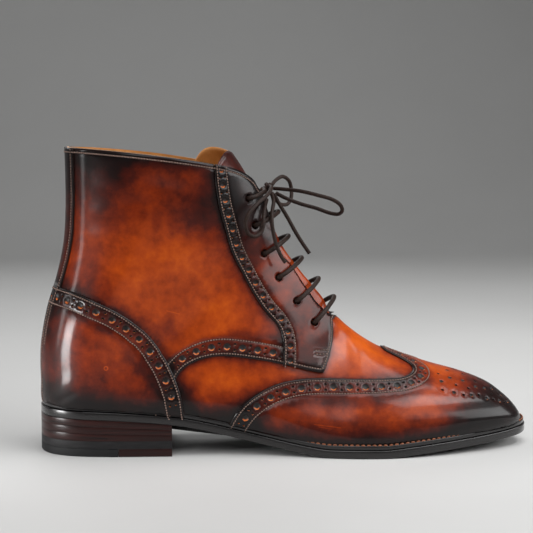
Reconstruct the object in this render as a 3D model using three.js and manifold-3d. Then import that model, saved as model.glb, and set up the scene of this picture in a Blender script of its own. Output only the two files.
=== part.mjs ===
// A laced brogue boot for the right foot. Millimetres, +X to the toe, +Z up, lateral side to -Y.
// The origin is on the ground under the middle of the sole's outline.
import * as THREE from "three";
import Module from "manifold-3d";

const wasm = await Module();
wasm.setup();
const { Manifold, CrossSection, Mesh } = wasm;

// Driving sizes
const LENGTH = 305; // outsole, heel to toe
const BALL_WIDTH = 102; // outsole across the ball
const BACK_HEIGHT = 185; // ground to collar at the back
const HEEL_RISE = 22; // heel seat above the forefoot
const TOE_SPRING = 7.7;
const OUTSOLE = 5;
const WELT = 2.5;
const GAP = 0.3; // between neighbouring pieces
const WALL = 2.4; // outer leather, lining and stiffener
const LAYER = 1.2; // one leather overlay
const TONGUE = 2.2;
const TOP_PIECE = 4.6;
const HEEL_BASE = 4.4;
const HEEL_LIFTS = 3;
const HEEL_LENGTH = 81; // back of the heel to its breast
const BACKSTAY_HALF = 15; // half width of the strip up the back
const LACE = 2.9;
const EYELET = 5.2;
const FACET = 0.2; // a facet may leave the true surface by this much

// Sizes worked out from them
const HALF = LENGTH / 2;
const BALL = BALL_WIDTH / 2;
const SOLE = OUTSOLE + GAP + WELT;
const CUT = 3; // how far a section runs on below the sole's top before it is trimmed
const HEEL_INSET = 4.2; // upper back from the sole's edge at the heel
const TOE_INSET = 4.2;

// Smooth curve through rows: cubic with three-point slopes. Past the ends it stays level.
function curve(xs, ys) {
  const n = xs.length;
  const h = [], d = [], m = [];
  for (let i = 0; i < n - 1; i++) {
    h.push(xs[i + 1] - xs[i]);
    d.push((ys[i + 1] - ys[i]) / h[i]);
  }
  for (let i = 0; i < n; i++)
    m.push(
      i === 0 ? d[0]
        : i === n - 1 ? d[n - 2]
          : (d[i] * h[i - 1] + d[i - 1] * h[i]) / (h[i - 1] + h[i]),
    );
  return (x) => {
    const c = Math.min(Math.max(x, xs[0]), xs[n - 1]);
    let i = 0;
    while (i < n - 2 && c >= xs[i + 1]) i++;
    const t = (c - xs[i]) / h[i], t2 = t * t, t3 = t2 * t;
    return (2 * t3 - 3 * t2 + 1) * ys[i] + (t3 - 2 * t2 + t) * h[i] * m[i]
      + (-2 * t3 + 3 * t2) * ys[i + 1] + (t3 - t2) * h[i] * m[i + 1];
  };
}
const column = (rows, k) => rows.map((r) => r[k]);

// Sole, heel to toe: share of LENGTH, share of HEEL_RISE, share of TOE_SPRING,
// and half widths as shares of BALL
const SOLE_ROWS = [
  // along, heel, toe, lateral, medial
  [0, 1.06, 0, 0, 0],
  [0.03, 1.05, 0, 0.45, 0.45],
  [0.08, 1.03, 0, 0.61, 0.605],
  [0.15, 1, 0, 0.67, 0.655],
  [0.22, 0.93, 0, 0.685, 0.655],
  [0.28, 0.84, 0, 0.685, 0.625],
  [0.34, 0.67, 0, 0.675, 0.575],
  [0.4, 0.465, 0, 0.685, 0.55],
  [0.46, 0.27, 0, 0.735, 0.57],
  [0.52, 0.1, 0, 0.83, 0.66],
  [0.575, 0, 0, 0.925, 0.8],
  [0.635, 0, 0, 0.99, 0.93],
  [0.69, 0, 0, 1, 1],
  [0.74, 0, 0.17, 0.965, 0.99],
  [0.8, 0, 0.36, 0.875, 0.93],
  [0.86, 0, 0.52, 0.74, 0.8],
  [0.91, 0, 0.67, 0.61, 0.66],
  [0.955, 0, 0.82, 0.455, 0.49],
  [0.985, 0, 0.94, 0.29, 0.31],
  [1, 0, 1, 0, 0],
];
// Outlines are drawn over an angle, so that both ends come out round.
const turn = (u) => Math.acos(Math.min(1, Math.max(-1, 1 - 2 * u)));
const turns = column(SOLE_ROWS, 0).map(turn);
const outlines = [curve(turns, column(SOLE_ROWS, 3)), curve(turns, column(SOLE_ROWS, 4))];
const halfWidth = (u, side) => BALL * outlines[side](turn(u));
const heelShare = curve(column(SOLE_ROWS, 0), column(SOLE_ROWS, 1));
const toeShare = curve(column(SOLE_ROWS, 0), column(SOLE_ROWS, 2));
const along = (x) => (x + HALF) / LENGTH;
const rise = (x) =>
  HEEL_RISE * Math.max(0, heelShare(along(x))) + TOE_SPRING * Math.max(0, toeShare(along(x)));
const soleTop = (x) => SOLE + rise(x);

// How far the upper stands back from the side of the sole, as a share of its half width
const SET_ROWS = [
  // along, share
  [0, 0.08],
  [0.3, 0.08],
  [0.5, 0.09],
  [0.62, 0.095],
  [1, 0.1],
];
const setBack = curve(column(SET_ROWS, 0), column(SET_ROWS, 1));
function feather(x, side, inset = 0) {
  // 0 and 1 at the two ends of the upper
  const u = (x + HALF - HEEL_INSET - inset) / (LENGTH - HEEL_INSET - TOE_INSET - 2 * inset);
  return Math.max(0, halfWidth(u, side) * (1 - setBack(u)) - inset);
}

// Sections of the upper from the toe to the collar. Each is a plane across the boot through a
// point on the top or front and a point on the sole or the back. Places are shares of LENGTH
// ahead of its middle and of BACK_HEIGHT. Widths are shares of BALL, and so are the lengths over
// which a section rounds off at its crown and at its back. A null back height is on the sole.
const SECTIONS = [
  // top x, top z, back x, back z, lateral, medial, lean, crown, back, ridge
  [0.486, 0.086, 0.486, null, 0, 0, 0, 0.06, 0.24, 0.02],
  [0.483, 0.1, 0.482, null, 0.255, 0.265, 0, 0.1, 0.27, 0.02],
  [0.472, 0.127, 0.469, null, 0.41, 0.43, 0, 0.18, 0.31, 0.02],
  [0.452, 0.159, 0.446, null, 0.54, 0.565, 0, 0.27, 0.35, 0.024],
  [0.418, 0.199, 0.41, null, 0.647, 0.686, 0, 0.39, 0.39, 0.03],
  [0.364, 0.234, 0.354, null, 0.765, 0.814, 0.03, 0.49, 0.43, 0.04],
  [0.3, 0.264, 0.282, null, 0.873, 0.908, 0.08, 0.61, 0.47, 0.05],
  [0.239, 0.299, 0.203, null, 0.931, 0.933, 0.14, 0.76, 0.51, 0.06],
  [0.187, 0.335, 0.125, null, 0.931, 0.873, 0.2, 0.96, 0.55, 0.063],
  [0.144, 0.381, 0.039, null, 0.873, 0.775, 0.24, 1.22, 0.59, 0.063],
  [0.11, 0.43, -0.052, null, 0.794, 0.706, 0.25, 1.45, 0.63, 0.06],
  [0.085, 0.489, -0.151, null, 0.735, 0.675, 0.24, 1.57, 0.67, 0.05],
  [0.061, 0.535, -0.256, null, 0.705, 0.665, 0.22, 1.65, 0.71, 0.04],
  [0.038, 0.578, -0.361, null, 0.69, 0.66, 0.2, 1.69, 0.75, 0.03],
  [0.018, 0.621, -0.44, null, 0.682, 0.655, 0.18, 1.69, 0.78, 0.024],
  [0.003, 0.657, -0.4862, null, 0.68, 0.655, 0.16, 1.65, 0.8, 0.02],
  [-0.009, 0.692, -0.491, 0.238, 0.68, 0.658, 0.14, 1.57, 0.82, 0.016],
  [-0.02, 0.735, -0.4905, 0.346, 0.68, 0.66, 0.12, 1.45, 0.84, 0.012],
  [-0.032, 0.778, -0.478, 0.465, 0.686, 0.67, 0.1, 1.33, 0.94, 0.008],
  [-0.043, 0.819, -0.457, 0.578, 0.686, 0.675, 0.08, 1.22, 0.98, 0.004],
  [-0.052, 0.859, -0.442, 0.692, 0.692, 0.682, 0.06, 1.14, 1.02, 0],
  [-0.061, 0.903, -0.437, 0.811, 0.702, 0.696, 0.05, 1.08, 1.06, 0],
  [-0.07, 0.951, -0.437, 0.93, 0.716, 0.714, 0.04, 1.06, 1.1, 0],
  [-0.081, 1.011, -0.439, 1.06, 0.731, 0.731, 0.03, 1.06, 1.14, 0],
];
const LAST = SECTIONS.length - 1;
const CLOSED = SECTIONS.findIndex((r) => r[3] !== null) - 1; // first section shut at the back
const rows = SECTIONS.map((r) => [
  r[0] * LENGTH,
  r[1] * BACK_HEIGHT,
  r[2] * LENGTH,
  r[3] === null ? soleTop(r[2] * LENGTH) - CUT : r[3] * BACK_HEIGHT,
  ...r.slice(4, 6).map((w) => w * BALL),
  r[6],
  ...r.slice(7).map((w) => w * BALL),
]);
const places = rows.map((_, i) => i);
const columns = rows[0].map((_, k) => curve(places, column(rows, k)));
const rounded = (t) => Math.sqrt(1 - (1 - Math.min(1, Math.max(0, t))) ** 2);

// Outer face: s runs over the sections, g from -1 at the lateral feather edge or the centre back,
// over 0 at the ridge, to 1 on the medial side.
function face(s, g) {
  const [tx, tz, bx, bz, lateral, medial, lean, crown, back, ridge] = columns.map((c) => c(s));
  const side = g > 0 ? 1 : 0;
  const foot = s < CLOSED ? feather(bx, side) : 0;
  const width = Math.max(0, side ? medial : lateral, foot);
  const share = width > 1e-6 ? Math.min(1, foot / width) : 1;
  const end = Math.PI * (1 - share / 2);
  const a = (1 - Math.cos(Math.abs(g) * end)) / (1 - Math.cos(end));
  const span = Math.hypot(tx - bx, tz - bz);
  const rest = back * (1 - Math.sqrt(1 - share * share));
  const w = width * (1 - lean * (1 - a) ** 2)
    * rounded((a * span) / crown) * rounded(((1 - a) * span + rest) / back);
  return new THREE.Vector3(
    tx + (bx - tx) * a,
    (side ? w : -w) + ridge * (1 - a) * Math.min(1, width / 20),
    tz + (bz - tz) * a,
  );
}
const STEP = 1e-3;
function outward(s, g) {
  const m = Math.min(Math.max(s, 0.05), LAST - STEP);
  const k = (g < 0 ? -1 : 1) * Math.min(Math.max(Math.abs(g), 0.004), 0.992);
  const ds = face(m + STEP, k).sub(face(m - STEP, k));
  const dg = face(m, k + STEP).sub(face(m, k - STEP));
  return dg.cross(ds).normalize();
}
const lifted = (s, g, o) => face(s, g).addScaledVector(outward(s, g), o);

// Closed solid from a grid of points: each row is a ring, and the two end rings are capped.
function lofted(rings) {
  const n = rings[0].length, points = rings.flat(), triangles = [];
  const quad = (a, b, c, d) => triangles.push(a, b, c, a, c, d);
  for (let i = 0; i < rings.length - 1; i++)
    for (let j = 0; j < n; j++) {
      const k = (j + 1) % n;
      quad(i * n + j, i * n + k, (i + 1) * n + k, (i + 1) * n + j);
    }
  for (const [row, way] of [[0, 1], [rings.length - 1, -1]]) {
    const middle = points.length;
    points.push(rings[row].reduce((t, p) => t.add(p), new THREE.Vector3()).divideScalar(n));
    for (let j = 0; j < n; j++) {
      const a = row * n + j, b = row * n + ((j + 1) % n);
      if (way > 0) triangles.push(middle, b, a);
      else triangles.push(middle, a, b);
    }
  }
  return solid(points, triangles);
}
function solid(points, triangles) {
  const made = (t) => new Manifold(new Mesh({
    numProp: 3,
    vertProperties: new Float32Array(points.flatMap((p) => [p.x, p.y, p.z])),
    triVerts: new Uint32Array(t),
  }));
  const first = made(triangles);
  if (first.volume() > 0) return first;
  const back = [];
  for (let i = 0; i < triangles.length; i += 3)
    back.push(triangles[i], triangles[i + 2], triangles[i + 1]);
  return made(back);
}
const shares = (n) => Array.from({ length: n + 1 }, (_, i) => i / n);

// Extra sections where the form turns fast: the toe, and where it closes at the heel
const TIGHT_STATIONS = [0.3, ...[0.7, 0.45, 0.25, 0.12, 0.04].map((back) => CLOSED - back)];

// The whole boot as one closed form, its face moved out by o. Points run round each section and
// the closing line underneath lies below the sole's top.
function form(o, along_count, round_count, drop = 0) {
  const stations = shares(along_count).map((t) => 0.02 + (LAST - 0.02) * t);
  const rings = [...stations, ...TIGHT_STATIONS].sort((a, b) => a - b).map((s) => {
    const ring = shares(round_count).map((v) => lifted(s, 2 * v - 1, o));
    const first = ring[0].clone(), last = ring[round_count].clone();
    for (const p of [first, last]) p.z -= drop;
    return drop ? [first, ...ring, last] : ring;
  });
  return lofted(rings);
}
// A curved slab between two offsets of the face, over part of it. Its far end stops short by
// drawBack stations, a function of the way across from -1 to 1.
function slab(s0, s1, left, right, low, high, n, m, drawBack = () => 0) {
  const rings = shares(n).map((t) => {
    const place = (v) => {
      const s = s0 + (s1 - drawBack(2 * v - 1) - s0) * t;
      return [s, left(s) + (right(s) - left(s)) * v];
    };
    const over = shares(m).map((v) => lifted(...place(v), high(...place(v))));
    const under = shares(m).map((v) => lifted(...place(v), low(...place(v)))).reverse();
    return [...over, ...under];
  });
  return lofted(rings);
}

// Side view: a place is a share of LENGTH ahead of the middle and a share of BACK_HEIGHT.
const sideView = ([a, b]) => [a * LENGTH, b * BACK_HEIGHT];
function smooth(points, n = 3) {
  const t = points.map((_, i) => i);
  const x = curve(t, column(points, 0)), z = curve(t, column(points, 1));
  return shares(n * (points.length - 1)).map((v) => {
    const k = v * (points.length - 1);
    return [x(k), z(k)];
  });
}
function prism(outline, y0, y1) {
  const area = outline.reduce((sum, [x, z], i) => {
    const [u, w] = outline[(i + 1) % outline.length];
    return sum + x * w - u * z;
  }, 0);
  const ring = area > 0 ? outline : [...outline].reverse();
  return new CrossSection([ring]).extrude(y1 - y0).rotate([90, 0, 0]).translate([0, y1, 0]);
}
const across = (outline) => prism(outline, -BALL_WIDTH, BALL_WIDTH);

// Everything above the top of the sole, moved up by lift
const BEYOND = 1.03; // runs this much past both ends
function aboveSole(lift) {
  const line = shares(60).map((t) => {
    const x = (2 * t - 1) * HALF * BEYOND;
    return [x, soleTop(x) + lift];
  });
  const top = BACK_HEIGHT * 1.4;
  return across([[HALF * BEYOND, top], [-HALF * BEYOND, top], ...line]);
}

// Edges seen from the side
const COLLAR = [
  [-0.47, 1.012], [-0.437, 1.008], [-0.392, 1.004], [-0.314, 0.993], [-0.236, 0.978],
  [-0.157, 0.957], [-0.115, 0.94], [-0.092, 0.922], [-0.073, 0.897], [-0.06, 0.862], [-0.03, 0.84],
].map(sideView);
const QUARTER_LOW = [
  [-0.232, 0.13], [-0.231, 0.22], [-0.222, 0.272], [-0.202, 0.302], [-0.172, 0.322],
  [-0.135, 0.329], [-0.088, 0.321], [-0.039, 0.307], [0.008, 0.288], [0.04, 0.274], [0.069, 0.265],
].map(sideView);
const TAB_FRONT = [
  [0.069, 0.265], [0.0795, 0.305], [0.0875, 0.35], [0.091, 0.388], [0.089, 0.425],
].map(sideView);
const COUNTER = [
  [-0.5, 0.556], [-0.462, 0.548], [-0.424, 0.538], [-0.384, 0.515], [-0.344, 0.483],
  [-0.306, 0.441], [-0.27, 0.383], [-0.245, 0.32], [-0.228, 0.261], [-0.215, 0.197],
  [-0.208, 0.13],
].map(sideView);
const WING = [
  [-0.125, 0.08], [-0.106, 0.145], [-0.081, 0.188], [-0.046, 0.222], [-0.004, 0.243],
  [0.05, 0.25], [0.12, 0.245], [0.19, 0.242], [0.231, 0.243], [0.253, 0.254], [0.26, 0.265],
  [0.251, 0.279], [0.229, 0.298], [0.204, 0.317], [0.19, 0.345],
].map(sideView);
const FACING_REAR = [
  [-0.153, 1.01], [-0.151, 0.934], [-0.147, 0.871], [-0.14, 0.806], [-0.129, 0.74],
  [-0.118, 0.674], [-0.099, 0.608], [-0.077, 0.54], [-0.052, 0.475], [-0.024, 0.42],
  [-0.014, 0.378], [-0.013, 0.338], [-0.015, 0.285],
].map(sideView);

// Throat: how far round the face the lateral and medial facings stop short of the ridge
const THROAT_ROWS = [
  // station, share round
  [10.05, 0.004],
  [10.25, 0.13],
  [10.6, 0.2],
  [11.2, 0.222],
  [12.2, 0.195],
  [13.2, 0.16],
  [15, 0.124],
  [17, 0.1],
  [19, 0.075],
  [LAST, 0.09],
];
const throat = curve(column(THROAT_ROWS, 0), column(THROAT_ROWS, 1));
const THROAT_END = THROAT_ROWS[0][0];

// Eyelets: station of the section and share round from the ridge
const EYELET_ROWS = [
  // station, share round
  [10.9, 0.352],
  [12.2, 0.311],
  [13.9, 0.258],
  [16.1, 0.19],
  [18, 0.19],
  [19.9, 0.188],
];

const ALONG_COUNT = 30; // facets along and round the forms
const ROUND_COUNT = 24;
const faceForm = form(0, ALONG_COUNT, ROUND_COUNT);
const cavity = form(-WALL, 24, 20, 4);
const overFirst = form(GAP, ALONG_COUNT, ROUND_COUNT);
const firstLayer = form(LAYER, ALONG_COUNT, ROUND_COUNT);
const overSecond = form(LAYER + GAP, ALONG_COUNT, ROUND_COUNT);
const secondLayer = form(2 * LAYER + GAP, ALONG_COUNT, ROUND_COUNT);
const trim = aboveSole(GAP);
const trimUp = aboveSole(2 * GAP);

const corner = (x, z) => [x * LENGTH, z * BACK_HEIGHT];
const quarterArea = across([
  ...smooth(QUARTER_LOW), ...smooth(TAB_FRONT).slice(1),
  corner(0.06, 0.62), corner(0.1, 1.3), corner(-0.6, 1.3), corner(-0.6, 0.1), corner(-0.23, 0.1),
]);
const counterArea = across([...smooth(COUNTER), corner(-0.21, 0.05), corner(-0.6, 0.05),
  corner(-0.6, 0.55)]);
const wingArea = across([...smooth(WING), corner(0.25, 0.5), corner(0.6, 0.5), corner(0.6, 0),
  corner(-0.13, 0)]);
const facingArea = across([
  ...smooth(FACING_REAR), ...smooth([...QUARTER_LOW.slice(-4)]).slice(1),
  ...smooth(TAB_FRONT).slice(1), corner(0.06, 0.62), corner(0.1, 1.3), corner(-0.153, 1.3),
]);
const aboveCollar = across([...smooth(COLLAR), corner(0.2, 0.84), corner(0.2, 1.5),
  corner(-0.6, 1.5), corner(-0.6, 1.012)]);
const throatSlot = slab(
  THROAT_END, LAST, (s) => -throat(s), (s) => throat(s), () => -7, () => 9, 24, 4);

function eyeletHole(s, g) {
  const at = lifted(s, g, -8), way = outward(s, g);
  const turnTo = new THREE.Quaternion().setFromUnitVectors(new THREE.Vector3(0, 0, 1), way);
  const m = new THREE.Matrix4().compose(at, turnTo, new THREE.Vector3(1, 1, 1));
  return Manifold.cylinder(18, EYELET / 2, EYELET / 2, 12).transform(m.elements);
}
const holes = Manifold.union(EYELET_ROWS.flatMap(([s, g]) => [eyeletHole(s, -g), eyeletHole(s, g)]));

// Quarters are a step in the upper's wall.
const upper = faceForm
  .add(firstLayer.intersect(quarterArea))
  .subtract(cavity)
  .subtract(throatSlot)
  .subtract(aboveCollar)
  .subtract(holes)
  .intersect(trim);
const wingCap = firstLayer.subtract(overFirst).intersect(wingArea).intersect(trimUp);
const shell = secondLayer.subtract(overSecond);
const heelCounter = shell.intersect(counterArea).intersect(trimUp);
const facings = shell.intersect(facingArea).subtract(throatSlot).subtract(aboveCollar)
  .subtract(holes);
const half = (way) => prism([corner(-1, -1), corner(1, -1), corner(1, 2), corner(-1, 2)],
  way < 0 ? -BALL_WIDTH : 0, way < 0 ? 0 : BALL_WIDTH);
const backstay = shell
  .intersect(prism([corner(-0.6, 0), corner(-0.33, 0), corner(-0.33, 2), corner(-0.6, 2)],
    -BACKSTAY_HALF, BACKSTAY_HALF))
  .subtract(across([...smooth(COUNTER.map(([x, z]) => [x, z + GAP])), corner(-0.21, 0.05),
    corner(-0.6, 0.05), corner(-0.6, 0.55)]))
  .subtract(aboveCollar);

// Tongue: how deep its middle lies under the face along the throat
const TONGUE_ROWS = [
  // station, depth
  [8.9, 2.9],
  [10, 3.2],
  [10.4, 3],
  [11, 1.2],
  [12, 0.5],
  [15, 0.5],
  [18, 1.6],
  [20.5, 3.6],
  [22, 6],
  [LAST, 9.5],
];
const tongueDepth = curve(column(TONGUE_ROWS, 0), column(TONGUE_ROWS, 1));
const TONGUE_REACH = 0.36;
// Stations by which its top edge drops on the lateral side, and at the medial wing's rim
const TONGUE_DROP = 2.4;
const TONGUE_WING = 0.9;
const tongueTop = (v) => (v < 0 ? TONGUE_DROP * Math.abs(v) ** 3 : TONGUE_WING * v ** 6);
function tongueFace(s, g) {
  const under = Math.max(WALL + 0.6, tongueDepth(s));
  const edge = throat(Math.max(s, THROAT_END)) * 0.8;
  const t = Math.min(1, Math.abs(g) / edge);
  const dome = s > THROAT_END + 0.05 ? (1 - t * t) ** 1.5 : 0;
  return -(under + (tongueDepth(s) - under) * dome) - Math.max(0, Math.abs(g) - 0.2) * 6;
}
const tongue = slab(
  TONGUE_ROWS[0][0], LAST, () => -TONGUE_REACH, () => TONGUE_REACH,
  (s, g) => tongueFace(s, g) - TONGUE, tongueFace, 22, 8, tongueTop);

// A plate with the sole's outline moved in by inset, between two heights along x
function plate(outline, x0, x1, low, high, count) {
  const rings = shares(count).map((t) => {
    const turnAt = turn(along(x0)) + (turn(along(x1)) - turn(along(x0))) * t;
    const x = -HALF + (LENGTH * (1 - Math.cos(turnAt))) / 2;
    const l = outline(x, 0), m = outline(x, 1), b = low(x), h = high(x);
    return [new THREE.Vector3(x, -l, b), new THREE.Vector3(x, m, b),
      new THREE.Vector3(x, m, h), new THREE.Vector3(x, -l, h)];
  });
  return lofted(rings);
}
const TIP = 0.12; // both ends of an outline are left this blunt
const soleOutline = (x, side) => halfWidth(along(x), side);
const edgeOutline = (inset) => (x, side) => {
  const u = (x + HALF - inset) / (LENGTH - 2 * inset);
  return Math.max(0.4, halfWidth(u, side) - inset);
};
const outsole = plate(soleOutline, -HALF + TIP, HALF - TIP, rise, (x) => rise(x) + OUTSOLE, 56);
const WELT_INSET = 0.7;
const weltOuter = plate(edgeOutline(WELT_INSET), -HALF + WELT_INSET + TIP,
  HALF - WELT_INSET - TIP, (x) => rise(x) + OUTSOLE + GAP, soleTop, 56);
const inside = (inset) => (x, side) => Math.max(0.4, feather(x, side, inset));
const insideFrom = (inset) => -HALF + HEEL_INSET + inset + TIP;
const insideTo = (inset) => HALF - TOE_INSET - inset - TIP;
const WELT_UNDER = WALL + 0.9; // how far the welt runs in under the upper
const welt = weltOuter.subtract(plate(inside(WELT_UNDER), insideFrom(WELT_UNDER),
  insideTo(WELT_UNDER), (x) => rise(x), (x) => soleTop(x) + 5, 40));
const INSOLE_INSET = WELT_UNDER + 0.4;
const insole = plate(inside(INSOLE_INSET), insideFrom(INSOLE_INSET), insideTo(INSOLE_INSET),
  (x) => rise(x) + OUTSOLE + GAP, soleTop, 40);

// Heel: flat top piece and base, then lifts that share the wedge under the outsole
const BREAST = -HALF + HEEL_LENGTH;
const heelPlate = (x0, x1, low, high, n = 20) => plate(soleOutline, x0, x1, low, high, n);
const wedge = (share) => (x) => {
  const low = TOP_PIECE + GAP + HEEL_BASE + GAP;
  return low + (rise(x) - GAP - low) * share;
};
const liftPlates = shares(HEEL_LIFTS).slice(0, -1).map((t, i) =>
  heelPlate(-HALF + TIP, BREAST, (x) => wedge(t)(x) + (i ? GAP : 0), wedge(t + 1 / HEEL_LIFTS)));
const heelBase = heelPlate(-HALF + TIP, BREAST, () => TOP_PIECE + GAP,
  () => TOP_PIECE + GAP + HEEL_BASE);
const TOP_SPLIT = -HALF + 0.6 * HEEL_LENGTH;
const topRubber = heelPlate(-HALF + TIP, TOP_SPLIT - GAP / 2, () => 0, () => TOP_PIECE, 16);
const topLeather = heelPlate(TOP_SPLIT + GAP / 2, BREAST, () => 0, () => TOP_PIECE, 6);

// A closed tube along a smooth line through points
function tube(points, radius, sides = 6, count = 18) {
  const line = new THREE.CatmullRomCurve3(points, false, "centripetal");
  const at = line.getSpacedPoints(count);
  let normal = null;
  const rings = at.map((p, i) => {
    const t = at[Math.min(i + 1, count)].clone().sub(at[Math.max(i - 1, 0)]).normalize();
    if (!normal) {
      normal = new THREE.Vector3(0, 0, 1);
      if (Math.abs(t.z) > 0.9) normal.set(1, 0, 0);
    }
    normal.addScaledVector(t, -normal.dot(t)).normalize();
    const other = t.clone().cross(normal);
    return shares(sides).slice(0, -1).map((v) =>
      p.clone().addScaledVector(normal, radius * Math.cos(2 * Math.PI * v))
        .addScaledVector(other, radius * Math.sin(2 * Math.PI * v)));
  });
  return lofted(rings);
}
const LACE_LIFT = 2 * LAYER + GAP + 0.45 + LACE / 2; // middle of a bar above the face
function bar([s, g], swell) {
  const points = [lifted(s, -g, -WALL), lifted(s, -g, 0.6), lifted(s, -g, LACE_LIFT - 1)];
  for (const v of [-0.88, -0.6, 0, 0.6, 0.88])
    points.push(lifted(s, v * g, LACE_LIFT + 0.5 + swell * (1 - v * v)));
  points.push(lifted(s, g, LACE_LIFT - 1), lifted(s, g, 0.6), lifted(s, g, -WALL));
  return tube(points, LACE / 2, 5, 16);
}
const BAR_SWELL = [0.2, 0.2, 0.3, 0.5, 0.8];
const bars = BAR_SWELL.map((swell, i) => bar(EYELET_ROWS[i], swell));

// The bow: the knot's place, and the strands as millimetres ahead of, beside and above it
const KNOT = new THREE.Vector3(-10.9, -1, 161);
const KNOT_SIZE = new THREE.Vector3(2.8, 3, 2.7);
const from = (offsets) => offsets.map((o) => new THREE.Vector3(...o).add(KNOT));
const STRANDS = {
  lace_loop_long: [
    [3.6, -0.8, -0.2], [10, -5, -0.6], [19, -9.8, -1.5], [30, -14.4, -4], [38.4, -16.1, -6.5],
    [43, -15.8, -9.5], [44.9, -12.4, -13.4], [43, -7.9, -15.9], [38.4, -4.9, -15.5],
    [30, -2.3, -12.6], [20, -0.4, -9.8], [11, 1.2, -6.3], [5, 2.2, -3.2],
  ],
  lace_loop_small: [
    [2.4, 3.4, 1.6], [5.6, 9, 4.6], [10.5, 15, 6.5], [14.7, 19, 3.5], [16.3, 20, -2.2],
    [15.9, 18, -7.2], [13.4, 15, -10.8], [8.2, 10.5, -10.5], [5, 8, -6.6], [2.8, 6, -3.4],
  ],
  lace_loop_side: [
    [1, -4, 1.4], [1.4, -10.5, 0.6], [-1.8, -18.8, -3.4], [-8.6, -26.4, -8.6],
    [-14.1, -30.6, -14.6], [-15.9, -32, -20.6], [-14.4, -31, -25.6], [-10.2, -28.1, -28],
    [-6, -25.2, -25.6], [-4.5, -24.2, -20.6], [-4.2, -22.6, -16.2], [-3.2, -18, -10.8],
    [-1.7, -11.6, -6.6],
  ],
  lace_end_short: [
    [1.8, -3.8, -3], [2.8, -9, -7.6], [1.6, -15, -13], [1, -19, -18.5], [1.8, -20.5, -26.3],
    [3.8, -21, -34.3], [6.8, -21.5, -41], [9.2, -22, -44.6],
  ],
  lace_end_long: [
    [3.6, -0.6, -3.6], [6.6, -2, -9.4], [11.6, -4, -17.8], [15.6, -6, -25.2],
    [20, -7, -32.6], [25.2, -8, -40.3],
  ],
};
const strands = Object.entries(STRANDS).map(([name, offsets]) =>
  [name, tube(from(offsets), LACE / 2, 5, 3 * offsets.length)]);
const knot = Manifold.sphere(1, 12).scale(KNOT_SIZE.toArray()).translate(KNOT.toArray());

// The top laces run from the last pair of eyelets to the knot.
function topLace(way) {
  const [s, g] = EYELET_ROWS.at(-1), k = way * g;
  return tube([
    lifted(s, k, -WALL), lifted(s, k, 0.6), lifted(s, k, LACE_LIFT - 1),
    lifted(s, 0.86 * k, LACE_LIFT + 0.5),
    ...from([[-2.8, way * 9.4, -1.6], [-3, way * (KNOT_SIZE.y + 1.6), -0.8]]),
  ], LACE / 2, 6, 12);
}

const group = new THREE.Group();
group.name = "brogue_boot";
const leather = (color) => ({ color, roughness: 0.35, metalness: 0 });
const MATERIALS = {
  tan_leather: leather("#9a4a14"),
  burnished_leather: leather("#5a1f0e"),
  lining_leather: leather("#c98a4e"),
  sole_edge: leather("#2a1a14"),
  stacked_leather: leather("#4a2015"),
  grey_fibre: { color: "#4a4a4c", roughness: 0.7, metalness: 0 },
  rubber: { color: "#2b2b2d", roughness: 0.8, metalness: 0 },
  waxed_lace: { color: "#4b3a30", roughness: 0.6, metalness: 0 },
};
function node(name, made, material) {
  const m = made.simplify(FACET).getMesh(), n = m.numProp;
  const position = new Float32Array(m.numVert * 3);
  for (let i = 0; i < m.numVert; i++)
    position.set(m.vertProperties.subarray(i * n, i * n + 3), i * 3);
  const indexed = new THREE.BufferGeometry()
    .setAttribute("position", new THREE.BufferAttribute(position, 3))
    .setIndex(new THREE.BufferAttribute(new Uint32Array(m.triVerts), 1));
  const geometry = indexed.toNonIndexed();
  geometry.computeVertexNormals();
  const mesh = new THREE.Mesh(geometry, new THREE.MeshStandardMaterial({
    name: material, ...MATERIALS[material],
  }));
  mesh.name = name;
  group.add(mesh);
}
node("upper", upper, "tan_leather");
node("wing_cap", wingCap, "tan_leather");
node("heel_counter", heelCounter, "tan_leather");
node("facing_lateral", facings.intersect(half(-1)), "burnished_leather");
node("facing_medial", facings.intersect(half(1)), "burnished_leather");
node("backstay", backstay, "burnished_leather");
node("tongue", tongue, "tan_leather");
node("insole", insole, "lining_leather");
node("welt", welt, "sole_edge");
node("outsole", outsole, "sole_edge");
liftPlates.forEach((made, i) => node(`heel_lift_${i + 1}`, made, "stacked_leather"));
node("heel_base", heelBase, "grey_fibre");
node("top_piece_rubber", topRubber, "rubber");
node("top_piece_leather", topLeather, "stacked_leather");
bars.forEach((made, i) => node(`lace_bar_${i + 1}`, made, "waxed_lace"));
node("lace_top_lateral", topLace(-1), "waxed_lace");
node("lace_top_medial", topLace(1), "waxed_lace");
node("lace_knot", knot, "waxed_lace");
strands.forEach(([name, made]) => node(name, made, "waxed_lace"));

export default group;
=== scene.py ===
"""Looks of a laced brogue boot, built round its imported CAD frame.

Lengths are millimetres in the formulas and metres in Blender: mm() turns one into the other.
"""

import math

import bpy
import numpy as np
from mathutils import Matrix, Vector
from mathutils.geometry import delaunay_2d_cdt


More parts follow.
